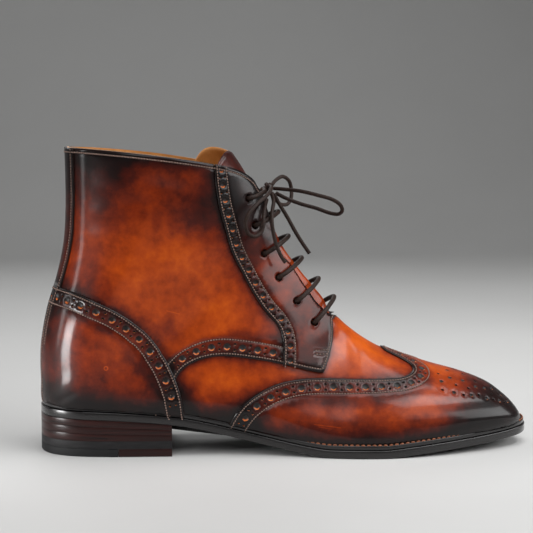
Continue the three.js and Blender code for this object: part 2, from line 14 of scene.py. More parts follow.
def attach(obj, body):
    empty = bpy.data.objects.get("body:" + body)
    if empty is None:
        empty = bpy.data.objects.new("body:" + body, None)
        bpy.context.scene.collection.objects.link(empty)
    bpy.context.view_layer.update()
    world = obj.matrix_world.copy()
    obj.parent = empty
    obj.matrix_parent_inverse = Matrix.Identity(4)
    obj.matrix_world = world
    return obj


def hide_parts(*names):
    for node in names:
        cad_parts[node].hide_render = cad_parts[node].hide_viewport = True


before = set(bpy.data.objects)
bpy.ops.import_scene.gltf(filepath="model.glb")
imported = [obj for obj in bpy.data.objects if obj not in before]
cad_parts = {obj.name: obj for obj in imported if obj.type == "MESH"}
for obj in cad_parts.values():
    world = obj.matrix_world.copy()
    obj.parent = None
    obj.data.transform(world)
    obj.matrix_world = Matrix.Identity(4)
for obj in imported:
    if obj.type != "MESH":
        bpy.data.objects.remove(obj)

bl_info = {
    "name": "Brogue boot",
    "version": (1, 0, 0),
    "blender": (4, 5, 0),
    "location": "View3D > Sidebar > Boot",
    "description": "Builds the leather, sole and laces of a brogue boot on its CAD frame",
    "category": "Add Mesh",
}

# Driving sizes, as in the part's source
LENGTH = 305.0
BALL_WIDTH = 102.0
BACK_HEIGHT = 185.0
HEEL_RISE = 22.0
TOE_SPRING = 7.7
OUTSOLE = 5.0
WELT = 2.5
GAP = 0.3
WALL = 2.4
LAYER = 1.2
TONGUE = 2.2
TOP_PIECE = 4.6
HEEL_BASE = 4.4
HEEL_LIFTS = 3
HEEL_LENGTH = 81.0
HEEL_INSET = 4.2
TOE_INSET = 4.2
CUT = 3.0
HALF = LENGTH / 2
BALL = BALL_WIDTH / 2
SOLE = OUTSOLE + GAP + WELT
MM = 0.001


def mm(points):
    """Millimetres as metres."""
    return np.asarray(points, float) * MM


# Sole, heel to toe
SOLE_ROWS = np.array([
    # along, heel, toe, lateral, medial
    (0, 1.06, 0, 0, 0),
    (0.03, 1.05, 0, 0.45, 0.45),
    (0.08, 1.03, 0, 0.61, 0.605),
    (0.15, 1, 0, 0.67, 0.655),
    (0.22, 0.93, 0, 0.685, 0.655),
    (0.28, 0.84, 0, 0.685, 0.625),
    (0.34, 0.67, 0, 0.675, 0.575),
    (0.4, 0.465, 0, 0.685, 0.55),
    (0.46, 0.27, 0, 0.735, 0.57),
    (0.52, 0.1, 0, 0.83, 0.66),
    (0.575, 0, 0, 0.925, 0.8),
    (0.635, 0, 0, 0.99, 0.93),
    (0.69, 0, 0, 1, 1),
    (0.74, 0, 0.17, 0.965, 0.99),
    (0.8, 0, 0.36, 0.875, 0.93),
    (0.86, 0, 0.52, 0.74, 0.8),
    (0.91, 0, 0.67, 0.61, 0.66),
    (0.955, 0, 0.82, 0.455, 0.49),
    (0.985, 0, 0.94, 0.29, 0.31),
    (1, 0, 1, 0, 0),
], float)
SET_ROWS = np.array([
    # along, share of the half width that the upper stands back
    (0, 0.08),
    (0.3, 0.08),
    (0.5, 0.09),
    (0.62, 0.095),
    (1, 0.1),
], float)
ON_SOLE = np.nan
SECTIONS = np.array([
    # top x, top z, back x, back z, lateral, medial, lean, crown, back, ridge
    (0.486, 0.086, 0.486, ON_SOLE, 0, 0, 0, 0.06, 0.24, 0.02),
    (0.483, 0.1, 0.482, ON_SOLE, 0.255, 0.265, 0, 0.1, 0.27, 0.02),
    (0.472, 0.127, 0.469, ON_SOLE, 0.41, 0.43, 0, 0.18, 0.31, 0.02),
    (0.452, 0.159, 0.446, ON_SOLE, 0.54, 0.565, 0, 0.27, 0.35, 0.024),
    (0.418, 0.199, 0.41, ON_SOLE, 0.647, 0.686, 0, 0.39, 0.39, 0.03),
    (0.364, 0.234, 0.354, ON_SOLE, 0.765, 0.814, 0.03, 0.49, 0.43, 0.04),
    (0.3, 0.264, 0.282, ON_SOLE, 0.873, 0.908, 0.08, 0.61, 0.47, 0.05),
    (0.239, 0.299, 0.203, ON_SOLE, 0.931, 0.933, 0.14, 0.76, 0.51, 0.06),
    (0.187, 0.335, 0.125, ON_SOLE, 0.931, 0.873, 0.2, 0.96, 0.55, 0.063),
    (0.144, 0.381, 0.039, ON_SOLE, 0.873, 0.775, 0.24, 1.22, 0.59, 0.063),
    (0.11, 0.43, -0.052, ON_SOLE, 0.794, 0.706, 0.25, 1.45, 0.63, 0.06),
    (0.085, 0.489, -0.151, ON_SOLE, 0.735, 0.675, 0.24, 1.57, 0.67, 0.05),
    (0.061, 0.535, -0.256, ON_SOLE, 0.705, 0.665, 0.22, 1.65, 0.71, 0.04),
    (0.038, 0.578, -0.361, ON_SOLE, 0.69, 0.66, 0.2, 1.69, 0.75, 0.03),
    (0.018, 0.621, -0.44, ON_SOLE, 0.682, 0.655, 0.18, 1.69, 0.78, 0.024),
    (0.003, 0.657, -0.4862, ON_SOLE, 0.68, 0.655, 0.16, 1.65, 0.8, 0.02),
    (-0.009, 0.692, -0.491, 0.238, 0.68, 0.658, 0.14, 1.57, 0.82, 0.016),
    (-0.02, 0.735, -0.4905, 0.346, 0.68, 0.66, 0.12, 1.45, 0.84, 0.012),
    (-0.032, 0.778, -0.478, 0.465, 0.686, 0.67, 0.1, 1.33, 0.94, 0.008),
    (-0.043, 0.819, -0.457, 0.578, 0.686, 0.675, 0.08, 1.22, 0.98, 0.004),
    (-0.052, 0.859, -0.442, 0.692, 0.692, 0.682, 0.06, 1.14, 1.02, 0),
    (-0.061, 0.903, -0.437, 0.811, 0.702, 0.696, 0.05, 1.08, 1.06, 0),
    (-0.07, 0.951, -0.437, 0.93, 0.716, 0.714, 0.04, 1.06, 1.1, 0),
    (-0.081, 1.011, -0.439, 1.06, 0.731, 0.731, 0.03, 1.06, 1.14, 0),
], float)
LAST = len(SECTIONS) - 1
CLOSED = int(np.argmax(~np.isnan(SECTIONS[:, 3]))) - 1


def curve(xs, ys, x):
    """Cubic through the rows (xs, ys) with three-point slopes, level past its ends.

    On each step of width h the value is h00 y0 + h10 h m0 + h01 y1 + h11 h m1,
    with the Hermite polynomials of t = (x - x0) / h.
    """
    xs, ys = np.asarray(xs, float), np.asarray(ys, float)
    x = np.clip(np.asarray(x, float), xs[0], xs[-1])
    h = np.diff(xs)
    d = np.diff(ys) / h
    m = np.concatenate(([d[0]], (d[1:] * h[:-1] + d[:-1] * h[1:]) / (h[:-1] + h[1:]), [d[-1]]))
    i = np.clip(np.searchsorted(xs, x, side="right") - 1, 0, len(xs) - 2)
    t = (x - xs[i]) / h[i]
    t2, t3 = t * t, t * t * t
    return ((2 * t3 - 3 * t2 + 1) * ys[i] + (t3 - 2 * t2 + t) * h[i] * m[i]
            + (3 * t2 - 2 * t3) * ys[i + 1] + (t3 - t2) * h[i] * m[i + 1])


def turn(u):
    """Share along the sole as an angle, so that both ends of an outline come out round."""
    return np.arccos(np.clip(1 - 2 * np.asarray(u, float), -1, 1))


SOLE_TURNS = turn(SOLE_ROWS[:, 0])


def half_width(u, medial):
    """Half width of the outsole at share u of its length."""
    return BALL * curve(SOLE_TURNS, SOLE_ROWS[:, 4 if medial else 3], turn(u))


def rise(x):
    """Height of the outsole's underside at x."""
    u = (np.asarray(x, float) + HALF) / LENGTH
    heel = np.maximum(0, curve(SOLE_ROWS[:, 0], SOLE_ROWS[:, 1], u))
    toe = np.maximum(0, curve(SOLE_ROWS[:, 0], SOLE_ROWS[:, 2], u))
    return HEEL_RISE * heel + TOE_SPRING * toe


def feather(x, medial, inset=0.0):
    """Half width of the upper's lower edge at x."""
    u = (x + HALF - HEEL_INSET - inset) / (LENGTH - HEEL_INSET - TOE_INSET - 2 * inset)
    return np.maximum(0, half_width(u, medial) * (1 - curve(SET_ROWS[:, 0], SET_ROWS[:, 1], u)) - inset)


def section_table():
    """SECTIONS in millimetres."""
    rows = SECTIONS * np.array([LENGTH, BACK_HEIGHT, LENGTH, BACK_HEIGHT, BALL, BALL, 1, BALL, BALL, BALL])
    on_sole = np.isnan(rows[:, 3])
    rows[on_sole, 3] = SOLE + rise(rows[on_sole, 2]) - CUT
    return rows


TABLE = section_table()
STATIONS = np.arange(LAST + 1)


def rounded(t):
    """Quarter circle from (0, 0) to (1, 1)."""
    return np.sqrt(1 - (1 - np.clip(t, 0, 1)) ** 2)


def face(s, g):
    """Outer face of the upper at station s and way round g: -1 lateral, 0 the ridge, 1 medial.

    A section runs from its top T to its back B: P = T + a (B - T), with a = (1 - cos pi g) / 2.
    Its half width is w = W (1 - lean (1 - a)^2), rounded off at the crown and at the back, where
    it is held open to the feather edge.
    """
    s, g = np.broadcast_arrays(np.asarray(s, float), np.asarray(g, float))
    tx, tz, bx, bz, lateral, medial, lean, crown, back, ridge = (
        curve(STATIONS, TABLE[:, k], s) for k in range(TABLE.shape[1]))
    side = g > 0
    foot = np.where(s < CLOSED, np.where(side, feather(bx, True), feather(bx, False)), 0)
    width = np.maximum(np.where(side, medial, lateral), np.maximum(foot, 1e-6))
    share = np.minimum(1, foot / width)
    a = (1 - np.cos(np.pi * np.abs(g))) / 2
    span = np.hypot(tx - bx, tz - bz)
    rest = back * (1 - np.sqrt(1 - share ** 2))
    w = width * (1 - lean * (1 - a) ** 2)
    w = w * rounded(a * span / crown) * rounded(((1 - a) * span + rest) / back)
    y = np.where(side, w, -w) + ridge * (1 - a) * np.minimum(1, width / 20)
    return np.stack((tx + (bx - tx) * a, y, tz + (bz - tz) * a), -1)


def way_round(s, share):
    """The g of a share round as the part's source counts it, whose a has pi (1 - foot / 2 width)."""
    s, share = np.broadcast_arrays(np.asarray(s, float), np.asarray(share, float))
    bx = curve(STATIONS, TABLE[:, 2], s)
    medial = share > 0
    width = np.where(medial, curve(STATIONS, TABLE[:, 5], s), curve(STATIONS, TABLE[:, 4], s))
    foot = np.where(s < CLOSED, np.where(medial, feather(bx, True), feather(bx, False)), 0)
    end = np.pi * (1 - np.minimum(1, foot / np.maximum(width, np.maximum(foot, 1e-6))) / 2)
    a = (1 - np.cos(np.abs(share) * end)) / (1 - np.cos(end))
    return np.sign(share) * np.arccos(1 - 2 * np.clip(a, 0, 1)) / np.pi


def slopes(s, g):
    """Derivatives of face() along s and along g."""
    s, g = np.broadcast_arrays(np.asarray(s, float), np.asarray(g, float))
    step = 1e-3
    m = np.clip(s, 0.05, LAST - step)
    k = np.where(g < 0, -1, 1) * np.clip(np.abs(g), 0.004, 0.992)
    ds = (face(m + step, k) - face(m - step, k)) / (2 * step)
    dg = (face(m, k + step) - face(m, k - step)) / (2 * step)
    return ds, dg


def unit(v):
    """Vectors at length one."""
    return v / np.maximum(np.linalg.norm(v, axis=-1, keepdims=True), 1e-12)


def outward(s, g):
    """Unit normal of face()."""
    ds, dg = slopes(s, g)
    return unit(np.cross(dg, ds))


def lifted(s, g, o):
    """Point o millimetres outside the face."""
    return face(s, g) + np.asarray(o, float)[..., None] * outward(s, g)


def moved(sg, direction, distance):
    """Places sg moved over the face by a distance along a direction in space.

    The move d solves J d = v in the least-squares sense, with J the two slopes.
    """
    ds, dg = slopes(sg[:, 0], sg[:, 1])
    v = direction * np.asarray(distance, float).reshape(-1, 1)
    ss, gg, sgd = (ds * ds).sum(1), (dg * dg).sum(1), (ds * dg).sum(1)
    vs, vg = (v * ds).sum(1), (v * dg).sum(1)
    det = np.maximum(ss * gg - sgd ** 2, 1e-9)
    return sg + np.stack(((vs * gg - vg * sgd) / det, (vg * ss - vs * sgd) / det), 1)


def running_mean(values, window):
    """Mean over an odd window of neighbours, with the end values held."""
    return np.convolve(np.pad(values, window // 2, mode="edge"), np.full(window, 1 / window), "valid")


# The face laid flat, near enough true to size, in millimetres: u along the stations, v round them
GRID_S = np.linspace(0, LAST, 24 * LAST + 1)
ROUND_G = np.linspace(-1, 1, 81)
SKIN = face(GRID_S[:, None], ROUND_G[None, :])
ROUND = running_mean(np.maximum(np.linalg.norm(np.diff(SKIN, axis=1), axis=2).sum(1) / 2, 2), 41)
ALONG = np.concatenate(([0], np.cumsum(
    np.linalg.norm(np.diff(SKIN[:, [20, 60]], axis=0), axis=2).mean(1))))


def flat(sg):
    """Places (s, g) as points (u, v) of the flat."""
    sg = np.asarray(sg, float).reshape(-1, 2)
    s = np.clip(sg[:, 0], 0, LAST)
    u = np.interp(s, GRID_S, ALONG) + 10 * (sg[:, 0] - s)
    return np.stack((u, sg[:, 1] * np.interp(s, GRID_S, ROUND)), 1)


def folded(uv):
    """Points (u, v) of the flat as places (s, g)."""
    s = np.interp(uv[:, 0], ALONG, GRID_S)
    return np.stack((s, np.clip(uv[:, 1] / np.interp(s, GRID_S, ROUND), -1, 1)), 1)


def first_under(value):
    """Share round, from 0.5 to 1, at which value(s, g) first turns negative on each GRID_S row."""
    g = np.linspace(0.5, 1, 101)
    i = np.where((value < 0).any(1), (value < 0).argmax(1), 100)
    i = np.clip(i, 1, 100)
    row = np.arange(len(value))
    a, b = value[row, i - 1], value[row, i]
    t = np.where(b < 0, a / np.where(a - b == 0, 1, a - b), 1)
    return g[i - 1] + (g[i] - g[i - 1]) * np.clip(t, 0, 1)


def ground_shares(side):
    """Where each section comes down onto the welt: 0.4 mm under the sole's top."""
    p = face(GRID_S[:, None], side * np.linspace(0.5, 1, 101)[None, :])
    return first_under(p[..., 2] - SOLE - rise(p[..., 0]) + 0.4)


GROUND = {side: ground_shares(side) for side in (-1, 1)}


def locate(xz, side):
    """Places (s, g) on one side whose side view is xz: nearest grid point, then Newton steps."""
    s, g = np.linspace(0.3, LAST, 240), np.linspace(0, 1, 81)
    grid = face(s[:, None], side * g[None, :])[..., [0, 2]].reshape(-1, 2)
    near = ((grid[None] - xz[:, None]) ** 2).sum(-1).argmin(1)
    sg = np.stack((s[near // 81], side * g[near % 81]), 1)
    for _ in range(5):
        ds, dg = slopes(*sg.T)
        miss = xz - face(*sg.T)[:, [0, 2]]
        det = ds[:, 0] * dg[:, 2] - dg[:, 0] * ds[:, 2]
        det = np.where(np.abs(det) < 1, np.sign(det + 1e-9), det)
        step = np.stack((miss[:, 0] * dg[:, 2] - miss[:, 1] * dg[:, 0],
                         miss[:, 1] * ds[:, 0] - miss[:, 0] * ds[:, 2]), 1) / det[:, None]
        trial = sg + np.clip(step, (-0.3, -0.03), (0.3, 0.03))
        trial[:, 0] = np.clip(trial[:, 0], 0.1, LAST)
        trial[:, 1] = side * np.clip(side * trial[:, 1], 0, 1)
        better = (np.linalg.norm(xz - face(*trial.T)[:, [0, 2]], axis=1)
                  < np.linalg.norm(miss, axis=1))
        sg = np.where(better[:, None], trial, sg)
    return sg


# Edges seen from the side: shares of LENGTH ahead of the middle and of BACK_HEIGHT
COLLAR = [
    (-0.47, 1.012), (-0.437, 1.008), (-0.392, 1.004), (-0.314, 0.993), (-0.236, 0.978),
    (-0.157, 0.957), (-0.115, 0.94), (-0.092, 0.922), (-0.073, 0.897), (-0.06, 0.862), (-0.03, 0.84),
]
QUARTER_LOW = [
    (-0.232, 0.13), (-0.231, 0.22), (-0.222, 0.272), (-0.202, 0.302), (-0.172, 0.322),
    (-0.135, 0.329), (-0.088, 0.321), (-0.039, 0.307), (0.008, 0.288), (0.04, 0.274), (0.069, 0.265),
]
TAB_FRONT = [
    (0.069, 0.265), (0.0795, 0.305), (0.0875, 0.35), (0.091, 0.388), (0.089, 0.425),
]
COUNTER = [
    (-0.5, 0.556), (-0.462, 0.548), (-0.424, 0.538), (-0.384, 0.515), (-0.344, 0.483),
    (-0.306, 0.441), (-0.27, 0.383), (-0.245, 0.32), (-0.228, 0.261), (-0.215, 0.197),
    (-0.208, 0.13),
]
WING = [
    (-0.125, 0.08), (-0.106, 0.145), (-0.081, 0.188), (-0.046, 0.222), (-0.004, 0.243),
    (0.05, 0.25), (0.12, 0.245), (0.19, 0.242), (0.231, 0.243), (0.253, 0.254), (0.26, 0.265),
    (0.251, 0.279), (0.229, 0.298), (0.204, 0.317),
]
FACING_REAR = [
    (-0.153, 1.01), (-0.151, 0.934), (-0.147, 0.871), (-0.14, 0.806), (-0.129, 0.74),
    (-0.118, 0.674), (-0.099, 0.608), (-0.077, 0.54), (-0.052, 0.475), (-0.024, 0.42),
    (-0.014, 0.378), (-0.013, 0.338), (-0.015, 0.285),
]
WING_PEAK = (7.75, 0.0)
THROAT_ROWS = np.array([
    # station, share round
    (10.05, 0.004),
    (10.25, 0.13),
    (10.6, 0.2),
    (11.2, 0.222),
    (12.2, 0.195),
    (13.2, 0.16),
    (15, 0.124),
    (17, 0.1),
    (19, 0.075),
    (LAST, 0.09),
])
EYELET_ROWS = [
    # station, share round
    (10.9, 0.352),
    (12.2, 0.311),
    (13.9, 0.258),
    (16.1, 0.19),
    (18, 0.19),
    (19.9, 0.188),
]
BACKSTAY_HALF = 15.0
BACK_SEAM_HALF = 9.5
# Stations between which the counter's back seams run
BACK_SEAM_ENDS = (15.2, 18.4)


def throat(s):
    """Share round at which a facing stops short of the ridge."""
    return curve(THROAT_ROWS[:, 0], THROAT_ROWS[:, 1], s)


def evenly(line, step):
    """A line with points every step millimetres, its ends kept."""
    far = np.concatenate(([0], np.cumsum(np.linalg.norm(np.diff(line, axis=0), axis=1))))
    at = np.linspace(0, far[-1], max(2, int(round(far[-1] / step)) + 1))
    return np.stack([np.interp(at, far, line[:, k]) for k in range(line.shape[1])], 1)


def smoothed(line, rounds=6):
    """A line with its corners eased, ends kept."""
    for _ in range(rounds):
        line = np.concatenate((line[:1], (line[:-2] + 2 * line[1:-1] + line[2:]) / 4, line[-1:]))
    return line


def side_line(rows, side):
    """A smooth line through side-view rows, on the flat."""
    rows = np.asarray(rows, float) * (LENGTH, BACK_HEIGHT)
    t, fine = np.arange(len(rows)), np.linspace(0, len(rows) - 1, 5 * len(rows))
    xz = np.stack((curve(t, rows[:, 0], fine), curve(t, rows[:, 1], fine)), 1)
    return evenly(smoothed(evenly(flat(locate(xz, side)), 1.0), 9), 1.0)


def station_line(share, side, s0, s1):
    """The line g = side * share(s), on the flat."""
    s = np.linspace(s0, s1, 120)
    return evenly(flat(np.stack((s, side * share(s)), 1)), 1.0)


def throat_way(s):
    """Way round at which a facing stops short of the ridge."""
    return way_round(s, throat(s))


def eyelets(side):
    """Places of one side's eyelets."""
    rows = np.array(EYELET_ROWS, float)
    return np.stack((rows[:, 0], way_round(rows[:, 0], side * rows[:, 1])), 1)


def across_line(line):
    """Directions in space at right angles to a line of the flat, in the face."""
    sg = folded(line)
    along = unit(np.gradient(face(*sg.T), axis=0))
    return unit(np.cross(outward(*sg.T), along))


def beside(line, distance):
    """A line of the flat, distance to its left over the face. Points that cross back are left out."""
    moved_line = flat(moved(folded(line), across_line(line), distance))
    gap = np.linalg.norm(moved_line[:, None] - line[None], axis=2).min(1)
    return evenly(moved_line[gap > 0.55 * abs(distance)], 1.0)


def gimped(line, way, pitch=1.3, depth=0.55):
    """A pinked edge: every second point stands depth to one side."""
    fine = evenly(line, pitch / 2)
    tooth = depth * (np.arange(len(fine)) % 2)
    return flat(moved(folded(fine), across_line(fine), way * tooth))


def inside(points, ring):
    """Which points lie in a closed ring of the flat, by counting crossings."""
    found = np.zeros(len(points), bool)
    for (u0, v0), (u1, v1) in zip(ring, np.roll(ring, -1, axis=0)):
        if v0 == v1:
            continue
        crosses = (points[:, 1] < v0) != (points[:, 1] < v1)
        found ^= crosses & (points[:, 0] < u0 + (u1 - u0) * (points[:, 1] - v0) / (v1 - v0))
    return found


def domain_ring():
    """The whole face's outline on the flat: welt line, centre back and collar end."""
    sides = []
    for side in (-1, 1):
        s = np.concatenate((np.arange(0.02, CLOSED, 0.06), np.arange(CLOSED, LAST + 0.01, 0.1)))
        g = np.interp(s, GRID_S, GROUND[side])
        sides.append(flat(np.stack((s, side * g), 1)))
    return sides


DOMAIN = domain_ring()
WHOLE = np.concatenate((DOMAIN[0], DOMAIN[1][::-1]))

# Main creases: side, then side-view shares of both ends, depth and width in millimetres
CREASES = [
    # side, x0, z0, x1, z1, depth, width
    (-1, -0.39, 0.89, -0.33, 0.86, 0.15, 3.2),
    (-1, -0.4, 0.79, -0.27, 0.84, 0.3, 4.6),
    (-1, -0.42, 0.72, -0.3, 0.73, 0.25, 4.4),
    (-1, -0.3, 0.9, -0.2, 0.86, 0.3, 4.5),
    (1, -0.42, 0.84, -0.3, 0.8, 0.5, 4.0),
    (1, -0.4, 0.7, -0.28, 0.73, 0.4, 4.0),
    (-1, 0.1, 0.42, 0.13, 0.3, 0.45, 3.4),
    (-1, 0.145, 0.37, 0.15, 0.27, 0.35, 3.2),
    (1, 0.1, 0.42, 0.13, 0.28, 0.45, 3.4),
    (1, 0.145, 0.37, 0.15, 0.26, 0.35, 3.2),
]


def relief(p, s, g):
    """Soft troughs of the creases: -depth exp(-(d / width)^2), d from the crease's side view."""
    out = np.zeros(len(p))
    for side, x0, z0, x1, z1, depth, width in CREASES:
        a = np.array((x0 * LENGTH, z0 * BACK_HEIGHT))
        way = np.array((x1 * LENGTH, z1 * BACK_HEIGHT)) - a
        q = p[:, [0, 2]] - a
        t = np.clip(q @ way / (way @ way), 0, 1)
        d = np.linalg.norm(q - t[:, None] * way, axis=1)
        fade = np.sin(np.pi * np.clip(t, 0.02, 0.98)) ** 0.6
        out -= np.where(side * g > 0, depth * fade * np.exp(-(d / width) ** 2), 0)
    return out


def skin_points(sg, o):
    """Points o outside the face, creases included. At the centre back the normal has no y."""
    s, g = sg.T
    p, n = face(s, g), outward(s, g)
    back = (np.abs(g) > 0.9999) & (s >= CLOSED)
    n[back, 1] = 0
    return p + (o + relief(p, s, g))[:, None] * unit(n)


def circle(sg, radius, n):
    """n places round sg at a true radius over the face."""
    n_out = outward(sg[:1], sg[1:])[0]
    a = unit(np.cross(n_out, (0, 0, 1.0)))
    b = np.cross(n_out, a)
    turns = np.linspace(0, 2 * np.pi, n, endpoint=False)[:, None]
    return flat(moved(np.repeat(sg[None], n, 0), np.cos(turns) * a + np.sin(turns) * b, radius))


# How far leather is let down at a cut edge, in a seam's groove and at a hole, in millimetres
EDGE_DROP = 0.35
GROOVE = 0.3
GROOVE_HALF = 0.55
HOLE_DROP = 0.2
HOLE_RIM = 0.35
# The grid keeps this far from edges, seams and holes
CLEARANCE = 0.8
# Darkness that a cut edge or groove adds, and a perforated band, which fades over a few millimetres
CUT_DARK = 0.4
CUT_DROP = 0.15
BAND_DARK = 0.24
BAND_FADE = (-0.5, 5)
RIM_REACH = 1.2


class Panel:
    """One leather panel: a region of the flat with edges, holes and stitch lines."""

    def __init__(self, region, edges, high, low, pitch=1.7):
        """Keeps the region, its edge lines, both heights over the face and the grid's pitch."""
        self.region, self.edges = region, edges
        self.high, self.low, self.pitch = high, low, pitch
        self.holes, self.seams = [], []
        self.base, self.band, self.rim = 0.1, None, None

    def hole(self, places, diameter, n):
        """Round holes at places (s, g)."""
        self.holes += [(np.asarray(sg, float), diameter / 2, n) for sg in places]

    def points(self):
        """Points, constrained edges and how far each point is let down, for the triangulation."""
        points, links, drops = [], [], []
        count = 0

        def put(line, drop, closed=False, tie=True):
            """Adds a line's points, and links them when they are tied."""
            nonlocal count
            n = len(line)
            points.append(line)
            drops.append(np.full(n, drop))
            if tie:
                links.extend((count + i, count + i + 1) for i in range(n - 1))
                if closed:
                    links.append((count + n - 1, count))
            count += n

        for ring in DOMAIN:
            put(ring, 0.0)
        for edge in self.edges:
            put(edge, EDGE_DROP)
        for seam in self.seams:
            fine = evenly(seam, 0.9)
            put(fine, GROOVE, tie=False)
            for way in (-GROOVE_HALF, GROOVE_HALF):
                put(flat(moved(folded(fine), across_line(fine), way)), 0.0, tie=False)
        for sg, radius, n in self.holes:
            put(circle(sg, radius, n), HOLE_DROP, closed=True)
            put(circle(sg, radius + HOLE_RIM, n), 0.0, tie=False)
        marked = np.concatenate(points)
        low, high = marked.min(0), marked.max(0)
        u = np.arange(low[0], high[0], self.pitch * 0.87)
        v = np.arange(low[1], high[1], self.pitch)
        grid = np.stack(np.meshgrid(u, v, indexing="ij"), -1)
        grid[1::2, :, 1] += self.pitch / 2
        grid = grid.reshape(-1, 2)
        grid = grid[self.region(grid) & inside(grid, WHOLE)]
        cell = np.round(marked / CLEARANCE).astype(np.int64)
        taken = np.unique(np.concatenate([
            (cell + (i, j)) @ (1 << 20, 1) for i in (-1, 0, 1) for j in (-1, 0, 1)]))
        free = ~np.isin(np.round(grid / CLEARANCE).astype(np.int64) @ (1 << 20, 1), taken)
        points.append(grid[free])
        drops.append(np.zeros(free.sum()))
        return np.concatenate(points), links, np.concatenate(drops)

    def build(self):
        """Vertices, triangles, walls, which walls are on the rim, and the burnish at each vertex.

        Triangles outside the region and in holes are dropped, those of merged points too. Each side
        that only one triangle has becomes a wall from the top down to the foot.
        """
        points, links, drops = self.points()
        out = delaunay_2d_cdt([Vector(p) for p in points], links, [], 0, 1e-5)
        uv = np.array([tuple(p) for p in out[0]])
        tris = np.array(out[2])
        drop = np.array([drops[o[0]] if o else EDGE_DROP for o in out[3]])
        middle = uv[tris].mean(1)
        keep = self.region(middle) & inside(middle, WHOLE)
        where = face(*folded(middle).T)
        for sg, radius, _ in self.holes:
            keep &= ((where - face(*sg)) ** 2).sum(1) > radius ** 2
        tris = tris[keep]
        sg = folded(uv)
        top = skin_points(sg, self.high - drop)
        foot = skin_points(sg, np.full(len(sg), float(self.low)))
        used, tris = np.unique(tris, return_inverse=True)
        tris = tris.reshape(-1, 3)
        sg, uv, top, foot = sg[used], uv[used], top[used], foot[used]
        _, first, same = np.unique(np.round(top, 3) + 0.0, axis=0, return_index=True,
                                   return_inverse=True)
        tris = same.reshape(-1)[tris]
        sg, uv, top, foot = sg[first], uv[first], top[first], foot[first]
        n = np.cross(top[tris[:, 1]] - top[tris[:, 0]], top[tris[:, 2]] - top[tris[:, 0]])
        wrong = (n * outward(*sg[tris[:, 0]].T)).sum(1) < 0
        tris[wrong] = tris[wrong][:, ::-1]
        tris = tris[(tris[:, 0] != tris[:, 1]) & (tris[:, 1] != tris[:, 2]) & (tris[:, 2] != tris[:, 0])]
        tris = tris[np.unique(np.sort(tris, 1), axis=0, return_index=True)[1]]
        sides = np.concatenate((tris[:, [0, 1]], tris[:, [1, 2]], tris[:, [2, 0]]))
        key = np.sort(sides, 1) @ (1 << 24, 1)
        _, index, count = np.unique(key, return_index=True, return_counts=True)
        rim = sides[index[count == 1]]
        n = len(top)
        walls = np.stack((rim[:, 1], rim[:, 0], rim[:, 0] + n, rim[:, 1] + n), 1)
        near = nearest(uv, SEAM_MARKS)
        dark = self.base + CUT_DARK * (drop[used][first] > CUT_DROP)
        if self.band is not None:
            line, width = self.band
            far = nearest(uv, line[::2])
            dark = dark + BAND_DARK * (1 - smooth_step(width + BAND_FADE[0], width + BAND_FADE[1], far))
        rim = np.zeros(len(walls), bool)
        if self.rim is not None:
            rim = nearest(uv[walls[:, 0]], self.rim) < RIM_REACH
        return (np.concatenate((top, foot)), tris, walls, rim,
                burnish(np.concatenate((top, foot)), np.tile(near, 2), np.tile(dark, 2)))


def mesh_object(name, points, faces, materials, slots=None, shade=True, **layers):
    """A mesh in metres from millimetre points and faces, with named values at its points."""
    mesh = bpy.data.meshes.new(name)
    mesh.from_pydata(mm(points).tolist(), [], [tuple(f) for f in faces])
    for material in materials:
        mesh.materials.append(material)
    if slots is not None:
        mesh.polygons.foreach_set("material_index", np.asarray(slots, np.int32))
    mesh.polygons.foreach_set("use_smooth", np.full(len(mesh.polygons), shade))
    for key, values in layers.items():
        mesh.attributes.new(key, "FLOAT", "POINT").data.foreach_set("value", np.asarray(values, float))
    mesh.update()
    obj = bpy.data.objects.new(name, mesh)
    bpy.context.scene.collection.objects.link(obj)
    return obj


def joined(parts):
    """Points and faces of several (points, faces) lists as one."""
    count, points, faces = 0, [], []
    for p, f in parts:
        points.append(p)
        faces.extend([tuple(int(i) + count for i in face_) for face_ in f])
        count += len(p)
    return np.concatenate(points), faces


def smooth_step(a, b, x):
    """0 below a, 1 above b, and 3 t^2 - 2 t^3 between."""
    t = np.clip((x - a) / (b - a), 0, 1)
    return t * t * (3 - 2 * t)


def nearest(points, marks):
    """Distance from each point to its nearest mark."""
    return np.concatenate([np.linalg.norm(part[:, None] - marks[None], axis=2).min(1)
                           for part in np.array_split(points, 1 + len(points) // 3000)])


# Darkness of each panel before seams, sole and places add theirs
DARKNESS = {"vamp": 0.1, "quarter": 0.13, "wing": 0.1, "counter": 0.14, "facing": 0.5,
            "backstay": 0.32, "tongue": 0.2}
# Falls of darkness from seams and from the sole: how dark at it, and their reach in millimetres
SEAM_FALLS = [(0.34, 1.6), (0.3, 9)]
SOLE_FALLS = [(0.6, 8), (0.3, 16)]


def falls(rows, distance):
    """Sum of dark exp(-distance / reach) over the rows."""
    return sum(dark * np.exp(-distance / reach) for dark, reach in rows)


def burnish(points, near, base):
    """Darkness of the dyed leather, 0 tan to 1 black.

    It is base, plus the falls from seams and from the sole, plus smooth steps at the toe, the rear,
    the heel, up the shaft and at the collar. The toe's step is weaker on top, and the heel's ends
    under the shaft.
    """
    x, _, z = points.T
    above = np.maximum(z - SOLE - rise(x), 0)
    toe = 0.62 * smooth_step(80, 128, x) * (1 - 0.35 * smooth_step(20, 34, above))
    rear = 0.18 * smooth_step(76, 122, -x)
    heel = 0.3 * smooth_step(118, 148, -x) * (1 - smooth_step(70, 110, z))
    shaft = 0.34 * smooth_step(116, 156, z)
    collar = 0.2 * smooth_step(168, 186, z)
    return np.clip(base + falls(SEAM_FALLS, near) + falls(SOLE_FALLS, above)
                   + toe + rear + heel + shaft + collar, 0, 1)


